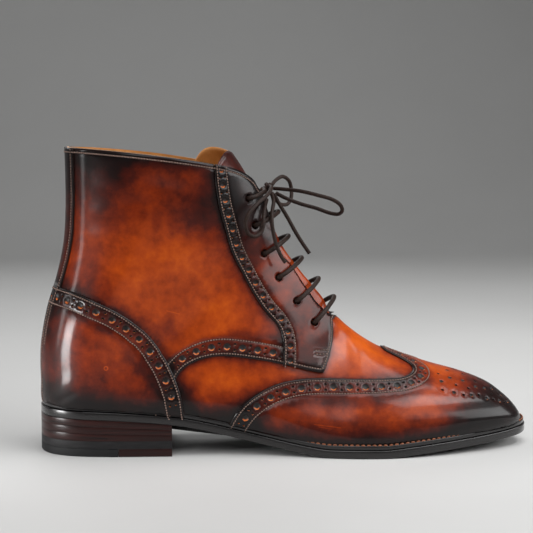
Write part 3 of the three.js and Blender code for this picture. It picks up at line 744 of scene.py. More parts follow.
def panel_object(name, panels, materials, node):
    """One object from (panel, base darkness) pairs: skins in the first material, cuts in the second."""
    parts, slots, dark = [], [], []
    for panel, base in panels:
        panel.base = base
        points, tris, walls, rim, shade = panel.build()
        parts.append((points, [tuple(t) for t in tris] + [tuple(w) for w in walls]))
        slots += [0] * len(tris) + [2 if on_rim else 1 for on_rim in rim]
        dark.append(shade)
    points, faces = joined(parts)
    obj = mesh_object(name, points, faces, materials, slots, burnish=np.concatenate(dark))
    obj.data.polygons.foreach_set("use_smooth", np.asarray(slots) == 0)
    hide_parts(*node)
    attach(obj, "root")
    return obj


# Materials
def rgb(text):
    """An sRGB hex colour as linear RGBA. A setting's colour is linear already."""
    if not isinstance(text, str):
        return (*text, 1.0)
    c = np.array([int(text[i:i + 2], 16) for i in (1, 3, 5)]) / 255
    return (*np.where(c <= 0.04045, c / 12.92, ((c + 0.055) / 1.055) ** 2.4), 1.0)


def add(tree, kind, inputs, output=0, stops=(), **settings):
    """Adds a shader node and gives back one of its outputs.

    inputs go from an input's name or number to a socket, which is linked, or to a plain value.
    stops are the (place, colour) pairs of a ramp, in order, and settings are the node's own.
    """
    node = tree.nodes.new("ShaderNode" + kind)
    for key, value in settings.items():
        setattr(node, key, value)
    for i, (place, colour) in enumerate(stops):
        bands = node.color_ramp.elements
        band = bands[i] if i < len(bands) else bands.new(place)
        band.position, band.color = place, rgb(colour)
    for key, value in inputs.items():
        if isinstance(value, bpy.types.NodeSocket):
            tree.links.new(value, node.inputs[key])
        else:
            node.inputs[key].default_value = value
    return node.outputs[output] if len(node.outputs) else None


def new_material(name):
    """An empty node material, its tree and its object coordinates."""
    material = bpy.data.materials.new(name)
    material.use_nodes = True
    material.node_tree.nodes.clear()
    return material, material.node_tree, add(material.node_tree, "TexCoord", {}, "Object")


# Small marks in the dye: both ends in metres, the half width, and how much lighter they are
SCUFFS = [
    ((0.0141, -0.0425, 0.0203), (0.0297, -0.0448, 0.0185), 0.0004, 0.22),
    ((0.0165, -0.0431, 0.0189), (0.0243, -0.0441, 0.0177), 0.0003, 0.16),
    ((-0.0742, -0.033, 0.0889), (-0.0664, -0.0325, 0.0868), 0.0004, 0.18),
]
# A ring mark: its middle and radius in metres, the half width, and how much lighter it is
RING_SCUFF = ((-0.1108, -0.0341, 0.0548), 0.0011, 0.0005, 0.3)
SCUFF_DEPTH = 0.05


def scuffed(tree, at, tone):
    """Takes each scuff off the tone where the distance to it is under its half width.

    The distance to a line from a to b is |p - h (b - a)|, with p = place - a and h the clamped
    share p.(b - a) / |b - a|^2. The ring's is | |place - middle| - radius |. Depths y count for
    SCUFF_DEPTH of themselves, so that a mark shows on its own side at any layer's height.
    """
    squash = (1.0, SCUFF_DEPTH, 1.0)
    at = add(tree, "VectorMath", {0: at, 1: squash}, operation="MULTIPLY")
    marks = []
    for a, b, half, lighter in SCUFFS:
        a, b = np.multiply(a, squash), np.multiply(b, squash)
        way = b - a
        p = add(tree, "VectorMath", {0: at, 1: tuple(a)}, operation="SUBTRACT")
        share = add(tree, "VectorMath", {0: p, 1: tuple(way / (way @ way))}, "Value",
                    operation="DOT_PRODUCT")
        share = add(tree, "Clamp", {"Value": share})
        foot = add(tree, "VectorMath", {0: tuple(way), "Scale": share}, operation="SCALE")
        off = add(tree, "VectorMath", {0: p, 1: foot}, "Value", operation="DISTANCE")
        marks.append((off, half, lighter))
    middle, radius, half, lighter = RING_SCUFF
    far = add(tree, "VectorMath", {0: at, 1: tuple(np.multiply(middle, squash))}, "Value",
              operation="DISTANCE")
    off = add(tree, "Math", {0: far, 1: radius}, operation="SUBTRACT")
    marks.append((add(tree, "Math", {0: off}, operation="ABSOLUTE"), half, lighter))
    for off, half, lighter in marks:
        mark = add(tree, "MapRange", {0: off, 1: 0.0, 2: half, 3: -lighter, 4: 0.0})
        tone = add(tree, "Math", {0: tone, 1: mark}, operation="ADD")
    return tone


# The calf's patterns in millimetres. Real pores are 0.2 mm apart, too fine to show, so these are coarser
CLOUD_SIZE = 38.0
MOTTLE_SIZE = 7.0
PORE_SIZE = 0.8
WRINKLE_SIZE = 3.5
SHINE_SIZE = 12.0
GRAIN_DEPTH = 0.22
GRAIN = 0.14
# How far clouds and mottle move the tone
CLOUD_TONE = 0.17
MOTTLE_TONE = 0.09
# The wax: a thin clear coat over a leather that shines little by itself
CALF_ROUGHNESS = (0.36, 0.5)
CALF_IOR = 1.5
CALF_SHINE = 0.12
WAX = 0.42
WAX_ROUGHNESS = 0.14
# Between these a noise has most of its values, and a pore's edge distance its walls
NOISE_SPAN = (0.3, 0.7)
PORE_SPAN = (0.0, 0.25)


def leather(name, dyes):
    """Dyed, waxed calf: colour from the burnish value and clouds, pores and wrinkles as bump.

    The tone is burnish + cloud + mottle - scuffs, and the dyes are a ramp over the tone.
    """
    material, tree, at = new_material(name)
    dark = add(tree, "Attribute", {}, "Fac", attribute_name="burnish")
    low, high = NOISE_SPAN
    tones = []
    for size, detail, rough, reach in ((CLOUD_SIZE, 3.0, 0.6, CLOUD_TONE),
                                       (MOTTLE_SIZE, 4.0, 0.65, MOTTLE_TONE)):
        noise = add(tree, "TexNoise", {"Vector": at, "Scale": 1 / (size * MM), "Detail": detail,
                                       "Roughness": rough}, "Fac")
        tones.append(add(tree, "MapRange", {0: noise, 1: low, 2: high, 3: -reach, 4: reach}))
    cloudy = add(tree, "Math", {0: tones[0], 1: tones[1]}, operation="ADD")
    tone = add(tree, "Math", {0: dark, 1: cloudy}, operation="ADD")
    colour = add(tree, "ValToRGB", {"Fac": scuffed(tree, at, tone)}, stops=dyes)
    pores = add(tree, "TexVoronoi", {"Vector": at, "Scale": 1 / (PORE_SIZE * MM)}, "Distance",
                feature="DISTANCE_TO_EDGE")
    pores = add(tree, "MapRange", {0: pores, 1: PORE_SPAN[0], 2: PORE_SPAN[1], 3: 0.0, 4: 1.0})
    wrinkles = add(tree, "TexNoise", {"Vector": at, "Scale": 1 / (WRINKLE_SIZE * MM), "Detail": 3.0},
                   "Fac")
    height = add(tree, "Math", {0: pores, 1: wrinkles}, operation="ADD")
    bump = add(tree, "Bump", {"Height": height, "Strength": GRAIN, "Distance": GRAIN_DEPTH * MM})
    shine = add(tree, "TexNoise", {"Vector": at, "Scale": 1 / (SHINE_SIZE * MM), "Detail": 3.0}, "Fac")
    roughness = add(tree, "MapRange", {0: shine, 1: low, 2: high, 3: CALF_ROUGHNESS[0],
                                       4: CALF_ROUGHNESS[1]})
    shader = add(tree, "BsdfPrincipled", {
        "Base Color": colour, "Roughness": roughness, "IOR": CALF_IOR, "Normal": bump,
        "Coat Weight": WAX, "Coat Roughness": WAX_ROUGHNESS, "Specular IOR Level": CALF_SHINE})
    add(tree, "OutputMaterial", {"Surface": shader})
    return material


def plain(name, colours, size, rough, coat=0.0, bump=0.2, depth=0.1, stretch=(1, 1, 1), shine=0.5):
    """A matt or waxed material with one noise, size millimetres across, for colour, gloss and relief.

    The colour is a ramp over the noise, the roughness goes from rough's first to its last value,
    and depth is the relief's height in millimetres.
    """
    material, tree, at = new_material(name)
    low, high = NOISE_SPAN
    place = add(tree, "Mapping", {"Vector": at, "Scale": stretch})
    noise = add(tree, "TexNoise", {"Vector": place, "Scale": 1 / (size * MM), "Detail": 4.0,
                                   "Roughness": 0.6}, "Fac")
    colour = add(tree, "ValToRGB", {"Fac": noise}, stops=[(low, colours[0]), (high, colours[1])])
    roughness = add(tree, "MapRange", {0: noise, 1: low, 2: high, 3: rough[0], 4: rough[1]})
    lift = add(tree, "Bump", {"Height": noise, "Strength": bump, "Distance": depth * MM})
    shader = add(tree, "BsdfPrincipled", {
        "Base Color": colour, "Roughness": roughness, "Normal": lift, "Coat Weight": coat,
        "Coat Roughness": 0.2, "Specular IOR Level": shine})
    add(tree, "OutputMaterial", {"Surface": shader})
    return material


def punched():
    """The undyed leather under a punched hole, with painted shade and a painted highlight: near black in the
    middle and on the upper side, tan on the lower side that faces up, where light from above would fall.
    """
    material, tree, _ = new_material("punched_underlay_painted_shade")
    slope = add(tree, "Attribute", {}, "Fac", attribute_name="slope")
    # painted shade: near black in the middle and on the upper side of a dish; painted highlight: tan on its
    # lower side
    colour = add(tree, "ValToRGB", {"Fac": slope},
                 stops=[(0.0, "#080302"), (0.45, "#2c0e05"), (1.0, "#d06a22")])
    shader = add(tree, "BsdfPrincipled", {"Base Color": colour, "Roughness": 0.55})
    add(tree, "OutputMaterial", {"Surface": shader})
    return material


MATERIALS = {}


def finishes(settings):
    """Every material once, by its short name."""
    if MATERIALS:
        return MATERIALS
    dyes = [(0.0, settings.tan), (0.2, settings.chestnut), (0.4, settings.brown), (0.6, settings.oxblood),
            (0.8, settings.burnt), (1.0, settings.black)]
    MATERIALS.update(
        # hand-burnished calf leather: tan clouds that go dark at seams and sole, under a soft wax shine
        calf=leather("burnished_calf", dyes),
        # the cut edge of the same leather, inked dark and matt
        cut=plain("inked_cut_edge", ("#120604", "#261009"), 2.0, (0.5, 0.7)),
        # vegetable-tanned calf lining: warm tan with a dull sheen
        lining=plain("tan_lining_calf", (settings.lining, "#cf9150"), 9.0, (0.45, 0.6), coat=0.1),
        # undyed leather at the bottom of the punched holes: painted shade in the middle and on the upper
        # side, and a painted tan highlight on the lower side
        punched=punched(),
        # bonded polyester thread: dull brown, a little lighter than the seams
        thread=plain("brown_thread", ("#4a342c", settings.thread), 0.8, (0.4, 0.55)),
        # waxed linen welt thread: reddish brown
        welt_thread=plain("waxed_welt_thread", ("#5a2a16", settings.welt_thread), 0.8, (0.45, 0.6)),
        # inked and waxed leather edge of welt and outsole: black, with fine lines along it
        edge=plain("waxed_sole_edge", (settings.edge, "#141011"), 1.6, (0.2, 0.4), coat=0.8,
                   stretch=(0.05, 0.05, 1.6), shine=0.2),
        # stacked heel leather, stained and polished: dark reddish layers
        stack=plain("stacked_heel_leather", ("#0e0302", "#2c0b07"), 1.8, (0.25, 0.45), coat=0.3,
                    stretch=(0.05, 0.05, 1.5), shine=0.15),
        # grey fibre board: matt and even
        fibre=plain("grey_fibre_board", ("#161516", "#242324"), 1.2, (0.45, 0.65), stretch=(0.2, 0.2, 1),
                    shine=0.2),
        # moulded heel rubber: matt near-black
        rubber=plain("heel_rubber", ("#0f0f10", "#19191a"), 1.0, (0.55, 0.75), shine=0.25),
        # waxed cotton lace: dark brown, with a rough round weave
        lace=plain("waxed_cotton_lace", ("#0f0805", settings.lace), 1.0, (0.45, 0.65), bump=0.6,
                   depth=0.3, shine=0.2),
    )
    return MATERIALS


# Regions of the flat: each panel is what lies inside one ring and outside others
def closed(line, *corners):
    """A ring from a line and corner places (s, g) beyond the face."""
    return np.concatenate((line, flat(corners)))


def hem(side):
    """Throat, collar and tab lines of one side, on the flat."""
    return {
        "throat": station_line(throat_way, side, THROAT_ROWS[0, 0], LAST),
        "collar": side_line(COLLAR, side),
        "tab": side_line(TAB_FRONT, side),
        "low": side_line(QUARTER_LOW, side),
        "rear": side_line(FACING_REAR, side),
        "counter": side_line(COUNTER, side),
    }


LINES = {side: hem(side) for side in (-1, 1)}
WING_LINE = smoothed(evenly(np.concatenate(
    (side_line(WING, -1), flat([WING_PEAK]), side_line(WING, 1)[::-1])), 1.0))
SEAM_MARKS = np.concatenate([WING_LINE[::3]] + [
    LINES[side][name][::3] for side in (-1, 1) for name in ("low", "tab", "rear", "counter", "collar")])


def quarter_front(side):
    """The quarter's lower and front edge, from the welt to the throat."""
    lines = LINES[side]
    return smoothed(evenly(np.concatenate((lines["low"], lines["tab"][1:],
                                           flat([(10.25, side * throat_way(10.25))]))), 1.0), 2)


def throat_ring(side):
    """The open throat on one side of the ridge."""
    return closed(LINES[side]["throat"], (LAST + 2, side * throat_way(LAST)), (LAST + 2, -0.001 * side),
                  (THROAT_ROWS[0, 0], -0.001 * side))


def above_collar(side):
    """What lies over the collar on one side."""
    return closed(LINES[side]["collar"], (LAST + 2, 0), (LAST + 2, 1.5 * side), (LAST - 0.8, 1.5 * side))


def opened(points):
    """Points that the throat or the collar takes away."""
    out = np.zeros(len(points), bool)
    for side in (-1, 1):
        out |= inside(points, throat_ring(side)) | inside(points, above_collar(side))
    return out


def back_line(half, side, s0, s1):
    """The line half millimetres from the middle beside the centre back, on the flat."""
    p = face(GRID_S[:, None], side * np.linspace(0.5, 1, 101)[None, :])
    share = first_under(np.abs(p[..., 1]) - half)
    return smoothed(station_line(lambda s: np.interp(s, GRID_S, share), side, s0, s1), 9)


# A pinhole's distance from the middle of its pair
PIN_GAP = 1.75
# Leather left round a hole inside its panel, and between a hole and the welt
HOLE_MARGIN = 0.7
WELT_MARGIN = 1.4


def hole_row(line, inset, pitch, start=0.5):
    """Places of big holes and of pairs of pinholes, inset to the left of an edge line.

    Big holes are a step apart, the pitch rounded so that whole steps fill the line. A pair of
    pinholes lies across the line half way between two of them.
    """
    run = evenly(beside(line, inset), 0.25)
    far = np.concatenate(([0], np.cumsum(np.linalg.norm(np.diff(face(*folded(run).T), axis=0), axis=1))))
    count = max(1, int(round(far[-1] / pitch)))
    step = far[-1] / count
    big = (np.arange(count) + start) * step
    pins = big[:-1] + step / 2

    def at(where):
        """Places where millimetres along the row."""
        return folded(np.stack([np.interp(where, far, run[:, k]) for k in (0, 1)], 1))

    centre = at(pins)
    last = 399
    way = across_line(np.stack([np.interp(np.linspace(0, far[-1], last + 1), far, run[:, k])
                                for k in (0, 1)], 1))
    pick = np.clip((pins / far[-1] * last).astype(int), 0, last)
    pairs = np.concatenate([moved(centre, way[pick], d) for d in (-PIN_GAP, PIN_GAP)])
    return at(big), pairs


def brogued(panel, line, inset, pitch=9.7, shrink=1.0):
    """Punches one row of holes beside an edge, in the sizes of the settings."""
    settings = bpy.context.scene.boot
    big, small = shrink * settings.hole / MM, shrink * settings.pinhole / MM
    holes, pins = hole_row(line, inset, pitch)
    for places, diameter, n in ((holes, big, 14), (pins, small, 8)):
        places = whole_ones(panel, places, diameter)
        panel.hole(places, diameter, n)
        dish(panel, places, diameter)


def whole_ones(panel, places, diameter):
    """The places whose holes lie a little inside their panel, clear of its edges and of the welt."""
    def fits(sg):
        """Whether a hole and its margins lie in the panel and over the welt."""
        return panel.region(circle(sg, diameter / 2 + HOLE_MARGIN, 8)).all() and inside(
            circle(sg, diameter / 2 + WELT_MARGIN, 8), WHOLE).all()

    return [sg for sg in places if fits(sg)]


# An overlay's underside lies this far over the layer below, a dish's bottom over that, and its
# top below the leather's
REST = 0.1
DISH_TOP = 0.2
DISH_SIDES = 14
DISH_RINGS = np.array([
    # share of the hole's radius, share of its depth, how much of its lower side takes the painted highlight
    (1.08, 1.0, 1.0),
    (0.92, 0.75, 1.0),
    (0.62, 0.12, 0.75),
    (0.42, 0.0, 0.0),
])
DISHES = []


def dish(panel, places, diameter):
    """Keeps holes whose bottoms are dished."""
    floor = max(panel.low, REST) + REST
    DISHES.extend((np.asarray(sg, float), diameter / 2, floor, panel.high - DISH_TOP) for sg in places)


def dish_object(material):
    """Dished bottoms of the big holes: rings of radius k R at heights floor + h (top - floor).

    The painted light value is 1 on the lower side of the dish, which faces up, for a painted highlight, and
    0 on the rest, for painted shade.
    """
    n = DISH_SIDES
    i = np.arange(len(DISH_RINGS) * n).reshape(-1, n)
    quads = np.stack((i[:-1], np.roll(i[:-1], -1, 1), np.roll(i[1:], -1, 1), i[1:]), -1).reshape(-1, 4)
    # painted light: the lower side of each ring takes the painted highlight, the middle and the upper side
    # painted shade
    lower = smooth_step(-0.1, 0.7, np.sin(np.linspace(0, 2 * np.pi, n, endpoint=False)))
    wide, deep, painted_lit = DISH_RINGS.T
    slope = (painted_lit[:, None] * lower).ravel()
    parts = []
    for sg, radius, floor, top in DISHES:
        rings = np.concatenate([folded(circle(sg, k * radius, n)) for k in wide])
        height = np.repeat(floor + deep * (top - floor), n)
        parts.append((skin_points(rings, height), [*quads.tolist(), i[-1].tolist()]))
    points, faces = joined(parts)
    obj = mesh_object("punched_dishes", points, faces, [material], slope=np.tile(slope, len(parts)))
    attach(obj, "root")
    return obj


SEAMS = []
SECOND = 2 * LAYER + GAP


def seam(line, o, panel=None):
    """Keeps a stitch line for the thread, and lets the panel under it in by a groove."""
    SEAMS.append((line, o))
    if panel:
        panel.seams.append(line)


# Rows beside each panel's edge line, in millimetres inside it: both seams, and the holes between
WING_SEAMS, WING_HOLES = (1.6, 9.9), 5.8
QUARTER_SEAMS, QUARTER_HOLES = (1.5, 10.0), 5.6
COUNTER_SEAMS, COUNTER_HOLES = (1.6, 10.2), 5.8
FACING_SEAMS, FACING_HOLES = (1.5, 7.7), 4.6
COLLAR_SEAM = 2.6
THROAT_SEAM = 2.2
TAB_SEAM = 1.5
BACKSTAY_SEAM = 1.6
# The facing's holes are closer and smaller
FACING_PITCH = 9.0
FACING_SHRINK = 0.86
# Width of a perforated band, which the dye darkens
BAND = 10.5
EYELET = 4.6
EYELET_SIDES = 16
MEDALLION_SIDES = 10
# Medallion holes over this size are big enough for a dish
DISHED = 2
# Coarser grids for layers that other panels or the shadow cover
GROUND_PITCH = 2.2
LINING_PITCH = 3.0


def vamp_panel():
    """The whole upper's ground layer, seen as the vamp between wing cap and quarters."""
    return Panel(lambda p: ~opened(p), [LINES[-1]["throat"], LINES[1]["throat"],
                                        LINES[-1]["collar"], LINES[1]["collar"]], 0, -WALL, GROUND_PITCH)


# The toe's medallion
MEDALLION = [
    # station, way round on both sides, diameter: outer chain, inner chain, middle
    (5.85, 0.18, 1.5), (5.8, 0.26, 2.3), (5.8, 0.34, 1.5), (5.45, 0.35, 2.3), (5.15, 0.36, 1.5),
    (4.88, 0.35, 2.3), (4.6, 0.33, 1.5), (4.3, 0.35, 2.3), (3.98, 0.34, 1.5), (3.66, 0.33, 2.3),
    (3.3, 0.31, 1.5), (3.0, 0.25, 2.3), (2.72, 0.14, 1.5), (2.5, 0.0, 2.3),
    (5.5, 0.2, 2.3), (5.35, 0.27, 1.5), (5.08, 0.2, 2.3), (4.95, 0.28, 1.5), (4.65, 0.24, 2.3),
    (4.6, 0.15, 1.5), (4.3, 0.22, 2.3), (4.02, 0.27, 1.5), (3.92, 0.17, 2.3), (3.6, 0.24, 1.5),
    (3.4, 0.18, 2.3), (3.1, 0.1, 1.5),
    (5.5, 0.09, 2.3), (5.2, 0.0, 1.5), (4.95, 0.08, 2.3), (4.66, 0.0, 1.5), (4.35, 0.07, 2.3),
    (4.05, 0.0, 1.5), (3.75, 0.06, 2.3), (3.35, 0.0, 2.3), (2.9, 0.0, 1.5),
]


def wing_panel():
    """The wing cap: everything ahead of the wing line, with a pinked edge and a toe medallion."""
    edge = gimped(WING_LINE, 1)
    ring = closed(edge, (11.6, 1.5), (-2, 1.5), (-2, -1.5), (11.6, -1.5))
    panel = Panel(lambda p: inside(p, ring), [edge], LAYER, REST)
    for inset in WING_SEAMS:
        seam(beside(WING_LINE, -inset), LAYER, panel)
    brogued(panel, WING_LINE, -WING_HOLES)
    panel.band = (WING_LINE, BAND)
    for s, g, diameter in MEDALLION:
        places = [(s, g), (s, -g)] if g else [(s, g)]
        panel.hole(places, diameter, MEDALLION_SIDES)
        if diameter > DISHED:
            dish(panel, places, diameter)
    return panel


def quarter_panel(side):
    """One quarter: behind the front edge and below the collar, from the throat to the centre back."""
    front = quarter_front(side)
    ring = closed(front, (LAST + 2, 0.0), (LAST + 2, 1.5 * side), (12.6, 1.5 * side))
    lines = LINES[side]
    panel = Panel(lambda p: inside(p, ring) & (p[:, 1] * side >= 0) & ~opened(p),
                  [gimped(front, 1 if side < 0 else -1), lines["throat"], lines["collar"]], LAYER, -WALL)
    way = -side
    for inset in QUARTER_SEAMS:
        seam(beside(lines["low"], inset * way), LAYER, panel)
    seen = panel.region
    counter = closed(lines["counter"], (11.2, 1.5 * side), (19, 1.5 * side))
    facing = facing_ring(side, lines["rear"])
    panel.region = lambda p: seen(p) & ~inside(p, counter) & ~inside(p, facing)
    brogued(panel, lines["low"], QUARTER_HOLES * way)
    panel.region = seen
    seam(beside(lines["collar"], COLLAR_SEAM * side), LAYER, panel)
    panel.band = (lines["low"], BAND)
    panel.rim = lines["collar"]
    panel.hole(eyelets(side), EYELET, EYELET_SIDES)
    return panel


def counter_panel():
    """The heel counter, both sides in one, its band of holes along the top edge."""
    edges = {side: gimped(LINES[side]["counter"], side) for side in (-1, 1)}
    rings = [closed(edges[side], (11.2, 1.5 * side), (19, 1.5 * side)) for side in (-1, 1)]
    panel = Panel(lambda p: inside(p, rings[0]) | inside(p, rings[1]), list(edges.values()),
                  SECOND, LAYER + REST)
    for side in (-1, 1):
        line = LINES[side]["counter"]
        for inset in COUNTER_SEAMS:
            seam(beside(line, side * inset), SECOND, panel)
        brogued(panel, line, side * COUNTER_HOLES)
        seam(back_line(BACK_SEAM_HALF, side, *BACK_SEAM_ENDS), SECOND, panel)
    panel.band = (np.concatenate([LINES[side]["counter"] for side in (-1, 1)]), BAND)
    return panel


# The bar tack at the tab: two short rows, from x, z to x, z in the side view
TACK = [((15.5, 61.6), (23.6, 61.2)), ((15.7, 59.4), (23.8, 59.0))]


def tab_edge(side):
    """The quarter's front edge from the foot of the facing's rear line to the throat."""
    front = quarter_front(side)
    return front[np.linalg.norm(front - LINES[side]["rear"][-1], axis=1).argmin():]


def facing_ring(side, rear):
    """The band beside the throat with the tab at its foot, ahead of a rear line."""
    return closed(np.concatenate((rear, tab_edge(side))), (10.05, 0.0), (LAST + 2, 0.0),
                  (LAST + 2, 0.35 * side))


def facing_panel(side):
    """One facing: a pinked rear edge, eyelets and holes down its middle."""
    lines = LINES[side]
    rear = gimped(lines["rear"], -side)
    ring = facing_ring(side, rear)
    panel = Panel(lambda p: inside(p, ring) & ~opened(p),
                  [rear, quarter_front(side), lines["throat"], lines["collar"]], SECOND, LAYER + REST)
    for inset in FACING_SEAMS:
        seam(beside(lines["rear"], -side * inset), SECOND, panel)
    brogued(panel, lines["rear"], -side * FACING_HOLES, pitch=FACING_PITCH, shrink=FACING_SHRINK)
    seam(beside(lines["throat"], side * THROAT_SEAM), SECOND, panel)
    seam(beside(tab_edge(side), -side * TAB_SEAM), SECOND, panel)
    seam(beside(lines["collar"], COLLAR_SEAM * side), SECOND, panel)
    for row in TACK:
        seam(evenly(flat(locate(np.array(row), side)), 1.0), SECOND, panel)
    panel.hole(eyelets(side), EYELET, EYELET_SIDES)
    panel.rim = lines["collar"]
    return panel


def backstay_panel():
    """The strip up the centre back, from the counter to the collar."""
    lines = {side: back_line(BACKSTAY_HALF, side, 17, LAST) for side in (-1, 1)}
    rings = [closed(lines[side], (LAST + 1, 1.5 * side), (16.5, 1.5 * side)) for side in (-1, 1)]
    counters = [closed(LINES[side]["counter"], (11.2, 1.5 * side), (19, 1.5 * side)) for side in (-1, 1)]
    panel = Panel(lambda p: (inside(p, rings[0]) | inside(p, rings[1])) & ~opened(p)
                  & ~inside(p, counters[0]) & ~inside(p, counters[1]),
                  list(lines.values()) + [LINES[k]["counter"] for k in (-1, 1)]
                  + [LINES[k]["collar"] for k in (-1, 1)], SECOND, LAYER + REST)
    for side in (-1, 1):
        seam(beside(lines[side], -side * BACKSTAY_SEAM), SECOND, panel)
    return panel


def lining_object(name, materials):
    """The lining: WALL inside the face, seen through the collar and the throat."""
    panel = Panel(lambda p: ~opened(p), [LINES[k][edge] for k in (-1, 1) for edge in ("throat", "collar")],
                  -WALL, -WALL, LINING_PITCH)
    points, tris = panel.build()[:2]
    obj = mesh_object(name, points[:len(points) // 2], [tuple(t[::-1]) for t in tris], materials)
    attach(obj, "root")
    return obj


def ring_points(inset, x0=-HALF, x1=HALF, count=150):
    """The sole's outline from x0 to x1, inset millimetres inside: lateral side first, heel to toe.

    x = -HALF + LENGTH (1 - cos t) / 2 and y = -+ half width, then each point moves along the
    outline's own normal.
    """
    t0, t1 = turn((x0 + HALF) / LENGTH), turn((x1 + HALF) / LENGTH)
    t = np.linspace(t0, t1, count)
    u = (1 - np.cos(t)) / 2
    x = -HALF + LENGTH * u
    sides = [np.stack((x, sign * half_width(u, sign > 0)), 1) for sign in (-1, 1)]
    whole = np.concatenate((sides[0], sides[1][::-1]))
    keep = np.concatenate(([True], np.linalg.norm(np.diff(whole, axis=0), axis=1) > 1e-6))
    keep[-1] &= np.linalg.norm(whole[-1] - whole[0]) > 1e-6
    whole = whole[keep]
    along = unit(np.roll(whole, -1, 0) - np.roll(whole, 1, 0))
    inward = np.stack((-along[:, 1], along[:, 0]), 1)
    return whole + inset * inward


def plate(name, low, high, materials, x0=-HALF, x1=HALF, inset=0.0, round_by=0.35, hollow=0.0, node=()):
    """A sole layer between two heights over x: its edge profile carried round the outline.

    The profile is (inset, height): flat underneath, a quarter round, the side, a quarter round and
    flat on top. A hollow layer is a band, and any other is closed across.
    """
    bend = np.linspace(0, np.pi / 2, 4)
    reach = hollow or 6.0
    profile = [(reach, 0.0, 0.0)]
    profile += [(round_by * (1 - np.sin(b)), 0.0, round_by * (1 - np.cos(b))) for b in bend]
    profile += [(0.0, 0.5, 0.0)]
    profile += [(round_by * (1 - np.cos(b)), 1.0, -round_by * (1 - np.sin(b))) for b in bend]
    profile += [(reach, 1.0, 0.0)]
    rows = []
    for back, share, lift in profile:
        ring = ring_points(inset + back, x0, x1)
        z = low(ring[:, 0]) * (1 - share) + high(ring[:, 0]) * share + lift
        rows.append(np.column_stack((ring, z)))
    n, k = len(rows[0]), len(rows)
    points = np.concatenate(rows)
    i = np.arange(k * n).reshape(k, n)
    a, b = i[:-1], i[1:]
    quads = np.stack((a, np.roll(a, -1, 1), np.roll(b, -1, 1), b), -1).reshape(-1, 4)
    faces = [tuple(q) for q in quads]
    if hollow:
        faces += [tuple(q) for q in np.stack((i[-1], np.roll(i[-1], -1), np.roll(i[0], -1), i[0]), -1)]
    else:
        faces += [tuple(i[0][::-1]), tuple(i[-1])]
    obj = mesh_object(name, points, faces, materials)
    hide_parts(*node)
    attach(obj, "root")
    return obj


# Tongue, as in the part's source
TONGUE_ROWS = np.array([
    # station, depth
    (8.9, 2.9),
    (10, 3.2),
    (10.4, 3),
    (11, 1.2),
    (12, 0.5),
    (15, 0.5),
    (18, 1.6),
    (20.5, 3.6),
    (22, 6),
    (LAST, 9.5),
])
TONGUE_REACH = 0.36
TONGUE_DROP = 2.4
TONGUE_WING = 0.9
# Rows up the tongue and points across one face of it
TONGUE_GRID = (130, 60)
# One over the share of its length and of its half width over which its edges round off
TONGUE_END = 60
TONGUE_SIDE = 12
# Distance from seams that the tongue's dye counts with, and its base darkness
TONGUE_FAR = 20.0


def tongue_depth(s, g):
    """How far the tongue's outer face lies under the boot's face.

    In the throat it rises from under the lining to its row's depth as (1 - t^2)^1.5, with t the
    share of the way from the ridge to the facing. Past 0.2 round it sinks by 6 for every share.
    """
    deep = curve(TONGUE_ROWS[:, 0], TONGUE_ROWS[:, 1], s)
    under = np.maximum(WALL + 0.6, deep)
    edge = throat(np.maximum(s, THROAT_ROWS[0, 0])) * 0.8
    t = np.minimum(1, np.abs(g) / edge)
    dome = np.where(s > THROAT_ROWS[0, 0] + 0.05, (1 - t * t) ** 1.5, 0)
    return under + (deep - under) * dome + np.maximum(0, np.abs(g) - 0.2) * 6


def tongue_object(materials):
    """The tongue: outer face, rounded top edge and lining, as one closed ring of points a row.

    Round a section the ring goes over the face, round the edge and back along the lining.
    """
    rows, half_count = TONGUE_GRID
    v = np.linspace(-1, 1, half_count)
    t = np.linspace(0, 1, rows)[:, None]
    short = np.where(v < 0, TONGUE_DROP * np.abs(v) ** 3, TONGUE_WING * v ** 6)
    s = TONGUE_ROWS[0, 0] + (LAST - short - TONGUE_ROWS[0, 0]) * t
    g = np.broadcast_to(TONGUE_REACH * v, s.shape)
    depth = tongue_depth(s, g)
    ease = 0.5 * TONGUE * (1 - rounded((1 - t) * TONGUE_END)) + 0 * s
    side_ease = 0.5 * TONGUE * (1 - rounded((1 - np.abs(v)) * TONGUE_SIDE))[None] + 0 * s
    pinch = np.maximum(ease, side_ease)
    g = way_round(s, g)
    over = lifted(s, g, -depth - pinch)
    under = lifted(s, g, -depth - TONGUE + pinch)
    ring = np.concatenate((over, under[:, ::-1]), 1)
    n = ring.shape[1]
    i = np.arange(rows * n).reshape(rows, n)
    quads = np.stack((i[:-1], np.roll(i[:-1], -1, 1), np.roll(i[1:], -1, 1), i[1:]), -1).reshape(-1, 4)
    column = np.tile(np.arange(n), rows - 1)
    slots = np.where((column < half_count - 1), 0, 1)
    faces = [tuple(q) for q in quads]
    last = i[-1]
    top = np.stack((last[:half_count - 1], last[1:half_count],
                    last[::-1][1:half_count], last[::-1][:half_count - 1]), -1)
    faces += [tuple(q) for q in top]
    slots = np.concatenate((slots, np.ones(len(top), int)))
    points = ring.reshape(-1, 3)
    dark = burnish(points, np.full(len(points), TONGUE_FAR), DARKNESS["tongue"])
    obj = mesh_object("tongue_skin", points, faces, materials, slots, burnish=dark)
    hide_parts("tongue")
    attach(obj, "root")
    return obj


# Laces, as in the part's source
LACE = 2.9
FREE_LACE = 2.4
LACE_LIFT = 2 * LAYER + GAP + 0.45 + LACE / 2
BAR_SWELL = (0.2, 0.2, 0.3, 0.5, 0.8)
KNOT = np.array((-10.9, -1.0, 161.0))
# The knot is drawn as a trefoil of this scale, flatter along x
KNOT_SCALE = 1.12
KNOT_DEPTH = 0.9
